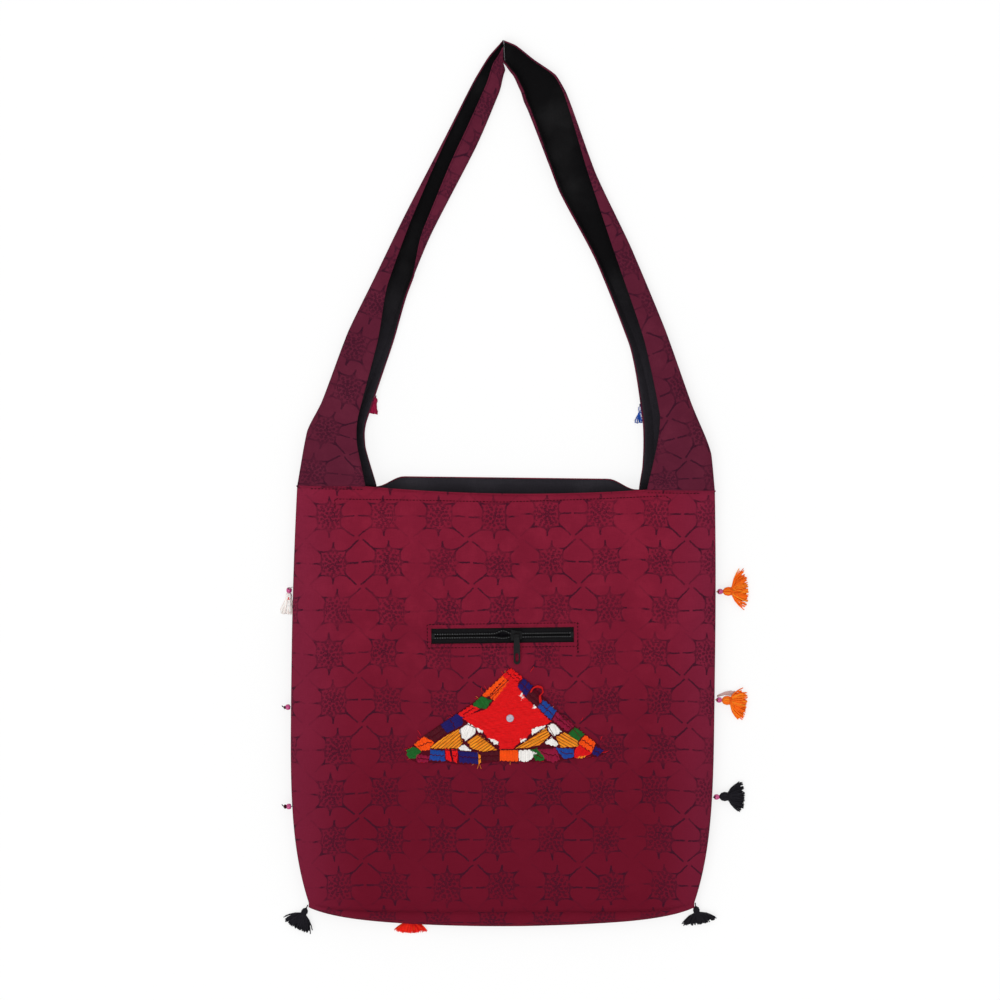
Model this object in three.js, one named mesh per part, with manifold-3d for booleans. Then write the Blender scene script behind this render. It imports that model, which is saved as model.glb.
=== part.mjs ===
// A cloth sling bag lying on its front, with the zip side up. Units are millimetres.
// +X runs to the right across the bag, +Y from its bottom to the top of its strap, +Z up from the floor.
// The origin is on the underside, near the middle of the body.
import * as THREE from "three";
import { mergeVertices } from "three/addons/utils/BufferGeometryUtils.js";
import Module from "manifold-3d";

// Driving dimensions of the body
const topHalfWidth = 182;
const widestHalfWidth = 184.5;
const bottomHalfWidth = 168;
const mouthHeight = 181.4;
const bottomCrease = -184.4;
const bottomStripDepth = 15;
const bottomCornerDepth = 3.4;
const bottomFoldBack = 21;
const bodyLean = 3.9;
const mouthCentreX = 0.9;
const mouthTilt = 4.4;
const mouthSag = 5;
const frontMouthLip = 9;
const seamHeight = 8;
const bodyThickness = 28;
const mouthThickness = 17;
const sideRound = 70;
const mouthSideRound = 50;
const undersideRound = 34;
const undersideSquareness = 1.5;
const creaseLift = 5;
const creaseLiftPower = 8;
const stripTaper = 0.8;

// How the outline and the filling run down the body, as shares of the way from the mouth to the crease
const shoulderShare = 0.4;
const tuckShare = 0.45;
const fullFromShare = 0.24;
const fullToShare = 0.72;

// Driving dimensions of the strap
const strapDrop = 391;
const strapSeamX = -1.5;
const strapGatherWidth = 18.7;
const strapTopThickness = 7;
const nearArmWidth = 59;
const farArmWidth = 68.7;
const frontLipRun = 24;
const curlRadius = 3.4;
const strapThins = { from: 0.02, to: 0.75 };
const upperRoundShare = 0.86;
const lowerRoundShare = 0.4;

// Cloth, lining, the clearance between pieces that touch, and the slack of a tassel's cord at its seam
const clothThickness = 1;
const liningThickness = 0.8;
const clearance = 0.3;
const cordSlack = 0.65;

// Driving dimensions of the zip and its pocket
const zipTilt = 0.7;
const zipCentre = { x: -2.1, y: 53.8 };
const windowLength = 123.8;
const windowWidth = 13.2;
const tapeThickness = 0.6;
const tapeMargin = 6;
const coilWidth = 2.3;
const coilHeight = 1.4;
const coilPitch = 2.6;
const coilGap = 0.4;
const coilShoulder = 0.25;
const coilRootShare = 0.45;
const coilToothShare = 0.62;
const stopLength = 3;
const stopEndGap = 0.1;
const sliderFromCentre = 12.2;
const sliderLength = 11;
const sliderWidth = 9.4;
const sliderPlate = 0.9;
const sliderLead = { from: -0.8, to: -0.3, gap: 0.05 };
const bridgeLegThickness = 1.1;
const bridgeLegHalfWidth = 0.7;
const bridgeBarRadius = 0.6;
const bridgeOpening = 4.6;
const pullLength = 25.4;
const pullWidth = 5.6;
const pullThickness = 1.1;
const pullHole = { width: 2.8, length: 7 };
const eyeRadius = 1.7;
const pocketDepth = 128;
const pocketRoom = 4.4;
const pocketMargin = 2;

// Driving dimensions of the embroidered patch
const patchHalfBase = 85.7;
const patchHeight = 80.9;
const patchApex = { x: 5.2, y: 24.9 };
const patchThickness = 0.8;
const patchCorner = 3;
const patchApexRound = 2;
const mirrorRadius = 3.5;
const mirrorThickness = 0.7;
const mirrorFromApex = 43;
const mirrorAside = 0.8;

// How far shapes that are joined into one piece reach into each other
const jointReach = 0.2;

// Colours and finishes
const maroonCloth = new THREE.MeshStandardMaterial({ color: 0x7b1a32, roughness: 0.92 });
const liningCloth = new THREE.MeshStandardMaterial({ color: 0x201e22, roughness: 0.9 });
const pocketCloth = new THREE.MeshStandardMaterial({ color: 0x2a272c, roughness: 0.92 });
const zipFabric = new THREE.MeshStandardMaterial({ color: 0x1c1a1d, roughness: 0.85 });
const zipNylon = new THREE.MeshStandardMaterial({ color: 0x242226, roughness: 0.5 });
const zipMetal = new THREE.MeshStandardMaterial({ color: 0x17161a, roughness: 0.45, metalness: 0.4 });
const embroidery = new THREE.MeshStandardMaterial({ color: 0xd3151a, roughness: 0.7 });
const mirrorGlass = new THREE.MeshStandardMaterial({ color: 0xc9c6cc, roughness: 0.1, metalness: 0.9 });
const beadGlass = new THREE.MeshStandardMaterial({ color: 0xc03a8c, roughness: 0.15 });
const threadColours = {
  orange: new THREE.MeshStandardMaterial({ color: 0xf85c11, roughness: 0.85 }),
  cream: new THREE.MeshStandardMaterial({ color: 0xe9e2dc, roughness: 0.85 }),
  black: new THREE.MeshStandardMaterial({ color: 0x161417, roughness: 0.85 }),
  red: new THREE.MeshStandardMaterial({ color: 0xd81b18, roughness: 0.85 }),
  magenta: new THREE.MeshStandardMaterial({ color: 0xb81c5e, roughness: 0.85 }),
  blue: new THREE.MeshStandardMaterial({ color: 0x2a2a86, roughness: 0.85 }),
};

const wasm = await Module();
wasm.setup();
const bag = new THREE.Group();
const radians = THREE.MathUtils.degToRad;
const mix = THREE.MathUtils.lerp;
const smooth = (value, low, high) => THREE.MathUtils.smoothstep(value, low, high);

// Adds one named piece to a group.
function addPiece(name, geometry, material, group = bag) {
  const mesh = new THREE.Mesh(geometry, material);
  mesh.name = name;
  group.add(mesh);
  return mesh;
}

// Turns a closed three.js geometry into a solid that can be joined and cut.
function solidOf(geometry) {
  const plain = geometry.index ? geometry.toNonIndexed() : geometry.clone();
  const bare = new THREE.BufferGeometry();
  bare.setAttribute("position", plain.getAttribute("position"));
  const merged = mergeVertices(bare, 1e-4);
  return new wasm.Manifold(
    new wasm.Mesh({
      numProp: 3,
      vertProperties: new Float32Array(merged.attributes.position.array),
      triVerts: new Uint32Array(merged.index.array),
    }),
  );
}

// Turns a solid back into a three.js geometry.
function geometryOf(solid) {
  const mesh = solid.getMesh();
  const geometry = new THREE.BufferGeometry();
  geometry.setAttribute("position", new THREE.BufferAttribute(mesh.vertProperties, 3));
  geometry.setIndex(new THREE.BufferAttribute(mesh.triVerts, 1));
  return geometry;
}

// A box between two corners.
function boxBetween(low, high) {
  const box = new THREE.BoxGeometry(high[0] - low[0], high[1] - low[1], high[2] - low[2]);
  return box.translate((low[0] + high[0]) / 2, (low[1] + high[1]) / 2, (low[2] + high[2]) / 2);
}

// A sheet with thickness: two grids of points of the same size, closed by a rim round their edges.
function sheetBetween(outside, inside) {
  const rows = outside.length;
  const columns = outside[0].length;
  const positions = [...outside.flat(), ...inside.flat()].flatMap((p) => [p.x, p.y, p.z]);
  const at = (layer, row, column) => layer * rows * columns + row * columns + column;
  const faces = [];
  const quad = (a, b, c, d) => faces.push(a, b, c, a, c, d);
  for (let row = 0; row < rows - 1; row++) {
    for (let column = 0; column < columns - 1; column++) {
      quad(at(0, row, column), at(0, row, column + 1), at(0, row + 1, column + 1), at(0, row + 1, column));
      quad(at(1, row, column), at(1, row + 1, column), at(1, row + 1, column + 1), at(1, row, column + 1));
    }
  }
  for (let column = 0; column < columns - 1; column++) {
    quad(at(0, 0, column + 1), at(0, 0, column), at(1, 0, column), at(1, 0, column + 1));
    const last = rows - 1;
    quad(at(0, last, column), at(0, last, column + 1), at(1, last, column + 1), at(1, last, column));
  }
  for (let row = 0; row < rows - 1; row++) {
    quad(at(0, row, 0), at(0, row + 1, 0), at(1, row + 1, 0), at(1, row, 0));
    const last = columns - 1;
    quad(at(0, row + 1, last), at(0, row, last), at(1, row, last), at(1, row + 1, last));
  }
  return facingOut(positions, faces);
}

// A closed mesh whose faces are turned outwards if they point in.
function facingOut(positions, faces) {
  let volume = 0;
  const point = (index) => new THREE.Vector3().fromArray(positions, index * 3);
  for (let i = 0; i < faces.length; i += 3) {
    volume += point(faces[i]).dot(point(faces[i + 1]).cross(point(faces[i + 2])));
  }
  if (volume < 0) {
    for (let i = 0; i < faces.length; i += 3) [faces[i + 1], faces[i + 2]] = [faces[i + 2], faces[i + 1]];
  }
  const geometry = new THREE.BufferGeometry();
  geometry.setAttribute("position", new THREE.Float32BufferAttribute(positions, 3));
  geometry.setIndex(faces);
  return geometry;
}

// The body's outline. "down" is 0 at the mouth and 1 at the bottom crease.
function halfWidthAt(down) {
  const narrowing = (widestHalfWidth - topHalfWidth) * Math.max(0, 1 - down / shoulderShare) ** 2;
  const tuck = (widestHalfWidth - bottomHalfWidth) * Math.max(0, (down - tuckShare) / (1 - tuckShare)) ** 4;
  return widestHalfWidth - narrowing - tuck;
}

function centreAt(down) {
  return mouthCentreX - bodyLean * Math.sin((Math.min(down, 1) * Math.PI) / 2);
}

// The line along which the strap is sewn to the panels, and which the mouth's edges start from.
function strapLine(x) {
  return mouthHeight - (mouthTilt * x) / (2 * topHalfWidth);
}

function backMouthEdge(x) {
  const share = Math.max(0, 1 - (x / (topHalfWidth - nearArmWidth)) ** 2);
  return strapLine(x) - clearance / 2 - mouthSag * share;
}

const frontLipReach = topHalfWidth - farArmWidth - clearance;

function frontMouthEdge(x) {
  const lip = frontMouthLip * smooth(frontLipReach - Math.abs(x), 0, frontLipRun);
  return strapLine(x) - clearance / 2 + lip;
}

// How far the top of the body has risen from its edges to its full thickness.
function fullness(down) {
  return smooth(down, 0, fullFromShare) * (1 - smooth(down, fullToShare, 1));
}

const bodyTop = bodyThickness - seamHeight;
const edgeTop = mouthThickness - seamHeight;

// Points across the body: quarter-round at each side seam and level between them. The underside's level points
// stand where its mouth edge rises between the strap's feet.
const roundSteps = 4;
const levelSteps = 6;

function acrossSteps(face) {
  const lipInner = frontLipReach - frontLipRun;
  const frontLevels = [-frontLipReach, -lipInner - frontLipRun / 2, -lipInner, 0];
  frontLevels.push(lipInner, lipInner + frontLipRun / 2, frontLipReach);
  const steps = [];
  for (let k = 0; k <= roundSteps; k++) steps.push({ side: -1, turn: (k / roundSteps) * (Math.PI / 2) });
  if (face > 0) for (let k = 1; k < levelSteps; k++) steps.push({ share: k / levelSteps });
  else for (const x of frontLevels) steps.push({ x });
  for (let k = roundSteps; k >= 0; k--) steps.push({ side: 1, turn: (k / roundSteps) * (Math.PI / 2) });
  return steps;
}

// Points down the body: level rows from the mouth to the crease, then a quarter-round to the bottom seam.
const bodyRows = 12;
const bottomRows = 3;

function downSteps() {
  const steps = [];
  for (let k = 0; k <= bodyRows; k++) steps.push({ down: k / bodyRows, turn: Math.PI / 2 });
  for (let k = bottomRows - 1; k >= 0; k--) steps.push({ down: 1, turn: (k / bottomRows) * (Math.PI / 2) });
  return steps;
}

// One surface of the body: face +1 is the upper side and -1 the underside. The surface lies "inset" inside the
// outline and "drop" inside the outer height, so that smaller values enclose larger ones.
function bodySurface(face, inset, drop) {
  return downSteps().map(({ down, turn }) => {
    const half = halfWidthAt(down);
    const centre = centreAt(down);
    const full = fullness(down);
    const round = face > 0 ? mix(mouthSideRound, sideRound, full) : undersideRound;
    const height = face > 0 ? mix(edgeTop, bodyTop, full) : seamHeight;
    const squareness = face > 0 ? 1 : undersideSquareness;
    const towardsSeam = Math.cos(turn) ** squareness;
    const rise = Math.sin(turn) ** squareness;
    const lowered = typeof drop === "function" ? drop(full) : drop;
    return acrossSteps(face).map((step) => {
      let x = step.x ?? mix(-half + round, half - round, step.share ?? 0);
      let swell = 1;
      if (step.side) {
        x = step.side * (half - round + (round - inset) * Math.cos(step.turn));
        swell = Math.sin(step.turn);
      }
      const beside = Math.min(1, Math.abs(x) / half);
      const mouthEdge = face > 0 ? backMouthEdge(x) : frontMouthEdge(x);
      const crease = bottomCrease + creaseLift * beside ** creaseLiftPower;
      const back = face > 0 ? 0 : bottomFoldBack - bottomStripDepth;
      const strip = bottomCornerDepth + (bottomStripDepth - bottomCornerDepth) * (1 - beside ** 2) ** stripTaper;
      const foldBack = back * (1 - beside ** 2);
      const y = mix(mouthEdge, crease + foldBack, down) - (strip + foldBack - inset) * towardsSeam;
      const z = seamHeight + face * (clearance / 2 + (height - lowered - clearance / 2) * swell * rise);
      return new THREE.Vector3(centre + x, y, z);
    });
  });
}

// The zip's parts hang below the outer cloth in this order, so each depth follows from the one above it.
const tapeDepth = clothThickness + clearance;
const pocketDrop = tapeDepth + tapeThickness + clearance;
const pocketHeight = 2 * liningThickness + pocketRoom;
const liningDrop = clothThickness + clearance;
const backLiningDrop = (full) => mix(liningDrop, pocketDrop + pocketHeight + clearance, full);

// Places a group in the plane of the zip, tilted as the window is.
const zipGroup = new THREE.Group();
zipGroup.position.set(zipCentre.x, zipCentre.y, bodyThickness);
zipGroup.rotation.z = radians(zipTilt);
bag.add(zipGroup);
zipGroup.updateMatrix();

// Outer cloth and lining of the two panels; the window is cut in the upper one.
function addPanels() {
  const back = solidOf(sheetBetween(bodySurface(1, 0, 0), bodySurface(1, clothThickness, clothThickness)));
  const opening = boxBetween(
    [-windowLength / 2, -windowWidth / 2, -2 * clothThickness],
    [windowLength / 2, windowWidth / 2, clothThickness],
  ).applyMatrix4(zipGroup.matrix);
  addPiece("back_panel", geometryOf(back.subtract(solidOf(opening))), maroonCloth);
  addPiece(
    "front_panel",
    sheetBetween(bodySurface(-1, 0, 0), bodySurface(-1, clothThickness, clothThickness)),
    maroonCloth,
  );
  const inner = liningDrop + liningThickness;
  addPiece(
    "lining_back",
    sheetBetween(
      bodySurface(1, liningDrop, backLiningDrop),
      bodySurface(1, inner, (full) => backLiningDrop(full) + liningThickness),
    ),
    liningCloth,
  );
  addPiece(
    "lining_front",
    sheetBetween(bodySurface(-1, liningDrop, liningDrop), bodySurface(-1, inner, inner)),
    liningCloth,
  );
}

// The strap from foot to top: height as a share of the drop, reach from the centre as a share of the foot's,
// the angle of the band's width below level, the band's width, how much of it folds over on the outer side,
// and how far the inner edge curls: its angle and the length beyond the curl.
const leftStrap = [
  { height: 0, reach: 1, lean: 0, width: farArmWidth, near: nearArmWidth, curl: 4, lip: 8 },
  { height: 0.123, reach: 0.952, lean: 15, width: 52, near: 50, curl: 20, lip: 9 },
  { height: 0.186, reach: 0.884, lean: 22, width: 42.2, near: 39, curl: 32, lip: 9 },
  { height: 0.346, reach: 0.755, lean: 22.5, width: 40, near: 27, curl: 30, lip: 5 },
  { height: 0.465, reach: 0.63, lean: 24, width: 31.5, near: 12.5, curl: 60, lip: 3 },
  { height: 0.602, reach: 0.488, lean: 27, width: 28, near: 6.5, curl: 170, lip: 5 },
  { height: 0.787, reach: 0.283, lean: 27, width: 28, near: 4.5, curl: 172, lip: 11 },
  { height: 0.914, reach: 0.144, lean: 31, width: 24.5, near: 4.5, curl: 172, lip: 10 },
  { height: 0.963, reach: 0.079, lean: 44, width: 19.5, near: 4.5, curl: 150, lip: 5 },
];
const rightStrap = [
  { height: 0, reach: 1, lean: 0, width: farArmWidth - 3, near: nearArmWidth, curl: 4, lip: 8 },
  { height: 0.082, reach: 0.983, lean: 12, width: 61, near: 52, curl: 16, lip: 9 },
  { height: 0.192, reach: 0.89, lean: 19.5, width: 44.8, near: 29, curl: 32, lip: 9 },
  { height: 0.354, reach: 0.767, lean: 21, width: 33.5, near: 20, curl: 30, lip: 5 },
  { height: 0.541, reach: 0.6, lean: 24, width: 32.3, near: 14.8, curl: 60, lip: 3 },
  { height: 0.704, reach: 0.433, lean: 24, width: 35.2, near: 6, curl: 90, lip: 3 },
  { height: 0.886, reach: 0.29, lean: 22, width: 37, near: 4.5, curl: 120, lip: 3 },
  { height: 0.9225, reach: 0.243, lean: 24, width: 34, near: 4.5, curl: 120, lip: 3 },
  { height: 0.957, reach: 0.138, lean: 36, width: 23, near: 4.5, curl: 110, lip: 3 },
  { height: 0.989, reach: 0.05, lean: 62, width: 19.5, near: 4.5, curl: 100, lip: 3 },
];
const strapTop = { height: 1, lean: 90, width: strapGatherWidth, near: 4.5, curl: 100, lip: 3 };
const lowerSteps = 2;
const curlSteps = 3;
const stepsBetweenStations = 2;

// Values between the stations, each read from a smooth curve through its own list.
function stationsOf(side, list) {
  const foot = { x: centreAt(0) + side * topHalfWidth, y: 0 };
  foot.y = strapLine(side * topHalfWidth) + clearance / 2;
  const apexHeight = mouthHeight + strapDrop;
  const endX = strapSeamX + (side * clearance) / 2;
  const rows = list.map((row) => ({
    ...row,
    x: mix(0, foot.x, row.reach),
    y: mix(foot.y, apexHeight, row.height),
    share: row.height,
  }));
  rows.push({ ...strapTop, x: endX, y: apexHeight, share: 1 });
  const curve = (key) => {
    const points = rows.map((row, index) => new THREE.Vector3(index, row[key], 0));
    return new THREE.CatmullRomCurve3(points, false, "centripetal");
  };
  const keys = ["x", "y", "share", "lean", "width", "near", "curl", "lip"];
  const curves = Object.fromEntries(keys.map((key) => [key, curve(key)]));
  const count = (rows.length - 1) * stepsBetweenStations;
  const stations = [];
  for (let k = 0; k <= count; k++) {
    const station = {};
    for (const key of keys) station[key] = curves[key].getPoint(k / count).y;
    stations.push(station);
  }
  return stations;
}

// The band's section at one station as a list of [distance from the outer fold, height], "depth" inside it.
function bandSection(station, depth) {
  const thin = smooth(station.share, strapThins.from, strapThins.to);
  const fold = mix(seamHeight, strapTopThickness / 2, thin);
  const rise = mix(edgeTop, strapTopThickness / 2, thin);
  const upperRound = Math.min(mouthSideRound, upperRoundShare * station.near);
  const lowerRound = Math.min(undersideRound, lowerRoundShare * station.width);
  const section = [];
  for (const share of [1, 0.5]) {
    section.push([mix(upperRound, station.near, share), fold + rise - depth]);
  }
  const quarter = (k, count) => (k / count) * (Math.PI / 2);
  for (let k = roundSteps; k >= 0; k--) {
    const turn = quarter(k, roundSteps);
    const distance = upperRound - (upperRound - depth) * Math.cos(turn);
    section.push([distance, fold + (rise - depth) * Math.sin(turn)]);
  }
  for (let k = 1; k <= lowerSteps; k++) {
    const turn = quarter(k, lowerSteps);
    const distance = lowerRound - (lowerRound - depth) * Math.cos(turn);
    section.push([distance, fold - (fold - depth) * Math.sin(turn)]);
  }
  const curl = radians(station.curl);
  const overhang = Math.max(Math.sin(Math.min(curl, Math.PI / 2)) * curlRadius, 0.1);
  const straight = Math.max(0, Math.cos(curl)) * station.lip;
  const curlStart = station.width - overhang - straight;
  section.push([mix(lowerRound, curlStart, 0.5), depth]);
  for (let k = 0; k <= curlSteps; k++) {
    const turn = (k / curlSteps) * curl;
    const radius = curlRadius - depth;
    section.push([curlStart + radius * Math.sin(turn), curlRadius - radius * Math.cos(turn)]);
  }
  const [lastDistance, lastHeight] = section[section.length - 1];
  section.push([lastDistance + station.lip * Math.cos(curl), lastHeight + station.lip * Math.sin(curl)]);
  return section;
}

function strapSurface(side, list, depth) {
  return stationsOf(side, list).map((station) => {
    const lean = radians(station.lean);
    const across = new THREE.Vector2(-side * Math.cos(lean), -Math.sin(lean));
    const tilt = station.share < 0.001 ? -mouthTilt / (2 * topHalfWidth) : 0;
    return bandSection(station, depth).map(
      ([distance, z]) =>
        new THREE.Vector3(
          station.x + across.x * distance,
          station.y + across.y * distance + tilt * across.x * distance,
          z,
        ),
    );
  });
}

// The strap's inner edge as seen from above, at a share of the strap's drop.
function strapEdgeAt(side, share) {
  const y = mouthHeight + share * strapDrop;
  const list = side < 0 ? leftStrap : rightStrap;
  const innermost = (row) => row.reduce((found, point) => (side * point.x < side * found.x ? point : found));
  const edge = strapSurface(side, list, 0).map(innermost);
  const next = edge.findIndex((point) => point.y > y);
  const [low, high] = [edge[next - 1], edge[next]];
  return { x: mix(low.x, high.x, (y - low.y) / (high.y - low.y)), y };
}

function addStrap() {
  const inner = liningDrop + liningThickness;
  for (const [name, side, list] of [
    ["strap_left", -1, leftStrap],
    ["strap_right", 1, rightStrap],
  ]) {
    const surface = (depth) => strapSurface(side, list, depth);
    addPiece(name, sheetBetween(surface(0), surface(clothThickness)), maroonCloth);
    addPiece(`${name}_lining`, sheetBetween(surface(liningDrop), surface(inner)), liningCloth);
  }
}

// Zip tapes: one strip on each side of the coil, reaching under the window's edges.
const tapeTop = -tapeDepth;
const coilBottom = tapeTop + clearance;
const coilTop = coilBottom + coilHeight;

function addTapes() {
  const halfLength = windowLength / 2 + tapeMargin;
  const outerEdge = windowWidth / 2 + tapeMargin;
  for (const [name, side] of [
    ["zip_tape_upper", 1],
    ["zip_tape_lower", -1],
  ]) {
    const edges = [(side * coilGap) / 2, side * outerEdge].sort((a, b) => a - b);
    const tape = boxBetween([-halfLength, edges[0], tapeTop - tapeThickness], [halfLength, edges[1], tapeTop]);
    addPiece(name, tape, zipFabric, zipGroup);
  }
}

// A coil: a row of rounded turns along the tape's edge, drawn as one toothed profile and given its width.
// The turns fill the length between the stops.
const coilSpan = windowLength - 2 * (stopEndGap + stopLength + clearance);

function addCoils() {
  const turns = Math.round(coilSpan / coilPitch);
  const pitch = coilSpan / turns;
  const start = -coilSpan / 2;
  const profile = new THREE.Shape();
  profile.moveTo(start, coilBottom);
  for (let k = 0; k < turns; k++) {
    const from = start + k * pitch;
    const to = from + pitch * coilToothShare;
    const root = coilBottom + coilHeight * coilRootShare;
    profile.lineTo(from, coilTop - coilShoulder);
    profile.lineTo(mix(from, to, 0.25), coilTop);
    profile.lineTo(mix(from, to, 0.75), coilTop);
    profile.lineTo(to, coilTop - coilShoulder);
    if (k < turns - 1) {
      profile.lineTo(to, root);
      profile.lineTo(from + pitch, root);
    } else {
      profile.lineTo(to, coilBottom);
    }
  }
  profile.closePath();
  for (const [name, side] of [
    ["zip_coil_upper", 1],
    ["zip_coil_lower", -1],
  ]) {
    const coil = new THREE.ExtrudeGeometry(profile, { depth: coilWidth, bevelEnabled: false });
    coil.rotateX(Math.PI / 2);
    coil.translate(0, side > 0 ? coilWidth + coilGap / 2 : -coilGap / 2, 0);
    addPiece(name, coil, zipNylon, zipGroup);
  }
}

// Two stops, each a small staple that closes over both coils beyond their last turn.
function addStops() {
  const halfWidth = coilWidth + coilGap / 2;
  for (const [name, side] of [
    ["zip_stop_left", -1],
    ["zip_stop_right", 1],
  ]) {
    const nearEnd = side * (coilSpan / 2 + clearance);
    const ends = [nearEnd, nearEnd + side * stopLength].sort((a, b) => a - b);
    const stop = boxBetween([ends[0], -halfWidth, coilBottom], [ends[1], halfWidth, coilTop]);
    addPiece(name, stop, zipMetal, zipGroup);
  }
}

// The slider: two plates joined by a wedge at the left. The upper plate has a flange along each side, beside the
// coils, and carries a bridge for the pull.
const channelTop = coilTop + clearance;
const channelBottom = tapeTop - tapeThickness - clearance;
const sliderTop = channelTop + sliderPlate;
const bridgeHeight = sliderTop + eyeRadius + clearance;

function sliderPlateGeometry(low, high) {
  const half = sliderLength / 2;
  const wide = sliderWidth / 2;
  const outline = new THREE.Shape();
  outline.moveTo(half - 1, -wide * 0.66);
  outline.quadraticCurveTo(half, 0, half - 1, wide * 0.66);
  outline.lineTo(0, wide * 0.8);
  outline.quadraticCurveTo(-half * 0.6, wide, -half * 0.85, wide);
  outline.quadraticCurveTo(-half * 1.05, 0, -half * 0.85, -wide);
  outline.quadraticCurveTo(-half * 0.6, -wide, 0, -wide * 0.8);
  outline.closePath();
  const plate = new THREE.ExtrudeGeometry(outline, { depth: high - low, bevelEnabled: false, curveSegments: 5 });
  return plate.translate(0, 0, low);
}

function addSlider() {
  const half = sliderLength / 2;
  const top = solidOf(sliderPlateGeometry(channelTop, sliderTop));
  const bottom = solidOf(sliderPlateGeometry(channelBottom - sliderPlate, channelBottom));
  const wedgeHalf = coilGap / 2 - sliderLead.gap;
  const wedge = boxBetween(
    [half * sliderLead.from, -wedgeHalf, channelBottom - jointReach],
    [half * sliderLead.to, wedgeHalf, channelTop + jointReach],
  );
  const besideCoils = coilWidth + coilGap / 2 + clearance;
  const channel = boxBetween([-sliderLength, -besideCoils, tapeTop], [sliderLength, besideCoils, sliderTop]);
  const sides = solidOf(sliderPlateGeometry(tapeTop + clearance, channelTop + jointReach));
  const flanges = sides.subtract(solidOf(channel));
  let slider = top.add(bottom).add(solidOf(wedge)).add(flanges);
  for (const side of [-1, 1]) {
    const from = side * (bridgeOpening / 2);
    const ends = [from, from + side * bridgeLegThickness].sort((a, b) => a - b);
    const leg = boxBetween(
      [ends[0], -bridgeLegHalfWidth, sliderTop - jointReach],
      [ends[1], bridgeLegHalfWidth, bridgeHeight],
    );
    slider = slider.add(solidOf(leg));
  }
  const barLength = bridgeOpening + 2 * bridgeLegThickness;
  const bar = new THREE.CylinderGeometry(bridgeBarRadius, bridgeBarRadius, barLength, 12);
  bar.rotateZ(Math.PI / 2).translate(0, 0, bridgeHeight);
  slider = slider.add(solidOf(bar));
  addPiece("zip_slider", geometryOf(slider), zipMetal, zipGroup).position.x = sliderFromCentre;
}

// The pull: a flat tag with a slot in its end, and an eye rolled round the slider's bridge.
function addPull() {
  const restAngle = Math.asin((bridgeHeight - pullThickness / 2 - 2 * clearance) / (pullLength - pullWidth / 2));
  const end = -pullLength + pullWidth / 2;
  const tag = new THREE.Shape();
  tag.moveTo(-pullWidth * 0.36, -eyeRadius * 0.5);
  tag.lineTo(-pullWidth / 2, end * 0.4);
  tag.lineTo(-pullWidth / 2, end);
  tag.absarc(0, end, pullWidth / 2, Math.PI, 2 * Math.PI, false);
  tag.lineTo(pullWidth / 2, end * 0.4);
  tag.lineTo(pullWidth * 0.36, -eyeRadius * 0.5);
  tag.closePath();
  const slot = new THREE.Path();
  const slotHalf = pullHole.width / 2;
  slot.absarc(0, end + pullHole.length - slotHalf, slotHalf, 0, Math.PI, false);
  slot.absarc(0, end + slotHalf - 0.6, slotHalf, Math.PI, 2 * Math.PI, false);
  slot.closePath();
  tag.holes.push(slot);
  const plate = new THREE.ExtrudeGeometry(tag, { depth: pullThickness, bevelEnabled: false, curveSegments: 8 });
  plate.translate(0, 0, -pullThickness / 2);
  const eyeWidth = bridgeOpening - 2 * clearance;
  const boreRadius = bridgeBarRadius + clearance;
  const eye = solidOf(new THREE.CylinderGeometry(eyeRadius, eyeRadius, eyeWidth, 16).rotateZ(Math.PI / 2));
  const bore = solidOf(new THREE.CylinderGeometry(boreRadius, boreRadius, 2 * eyeWidth, 16).rotateZ(Math.PI / 2));
  const pull = eye.add(solidOf(plate)).subtract(bore);
  const piece = addPiece("zip_pull", geometryOf(pull), zipMetal, zipGroup);
  piece.position.set(sliderFromCentre, 0, bridgeHeight);
  piece.rotation.x = restAngle;
}

// The pocket: a flat cloth bag under the tapes, open to them through a slot as large as the window.
function addPocket() {
  const halfLength = windowLength / 2 + tapeMargin + pocketMargin;
  const upperEdge = windowWidth / 2 + tapeMargin;
  const top = -pocketDrop;
  const outer = boxBetween([-halfLength, upperEdge - pocketDepth, top - pocketHeight], [halfLength, upperEdge, top]);
  const wall = liningThickness;
  const room = boxBetween(
    [-halfLength + wall, upperEdge - pocketDepth + wall, top - pocketHeight + wall],
    [halfLength - wall, upperEdge - wall, top - wall],
  );
  const slot = boxBetween(
    [-windowLength / 2, -windowWidth / 2, top - 2 * wall],
    [windowLength / 2, windowWidth / 2, top + wall],
  );
  const pocket = solidOf(outer).subtract(solidOf(room)).subtract(solidOf(slot));
  addPiece("pocket_pouch", geometryOf(pocket), pocketCloth, zipGroup);
}

// The embroidered triangle lies flat on the upper panel, with its small mirror sewn on at the centre.
function addPatch() {
  const outline = new THREE.Shape();
  const base = patchApex.y - patchHeight;
  const apexEdge = patchApex.y - patchApexRound;
  outline.moveTo(patchApex.x - patchCorner, apexEdge);
  outline.quadraticCurveTo(patchApex.x, patchApex.y + patchApexRound / 2, patchApex.x + patchCorner, apexEdge);
  outline.lineTo(patchHalfBase, base + 1.33 * patchCorner);
  outline.lineTo(patchHalfBase - patchCorner, base);
  outline.lineTo(-patchHalfBase + patchCorner, base);
  outline.lineTo(-patchHalfBase, base + 2 * patchCorner);
  outline.closePath();
  const cloth = new THREE.ExtrudeGeometry(outline, { depth: patchThickness, bevelEnabled: false, curveSegments: 4 });
  const bottom = bodyThickness + clearance;
  addPiece("patch", cloth.translate(0, 0, bottom), embroidery);
  const disc = new THREE.CylinderGeometry(mirrorRadius * 0.9, mirrorRadius, mirrorThickness, 24);
  disc.rotateX(Math.PI / 2);
  const height = bottom + patchThickness + clearance + mirrorThickness / 2;
  const place = { x: patchApex.x - mirrorAside, y: patchApex.y - mirrorFromApex };
  addPiece("patch_mirror", disc.translate(place.x, place.y, height), mirrorGlass);
}

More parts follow.
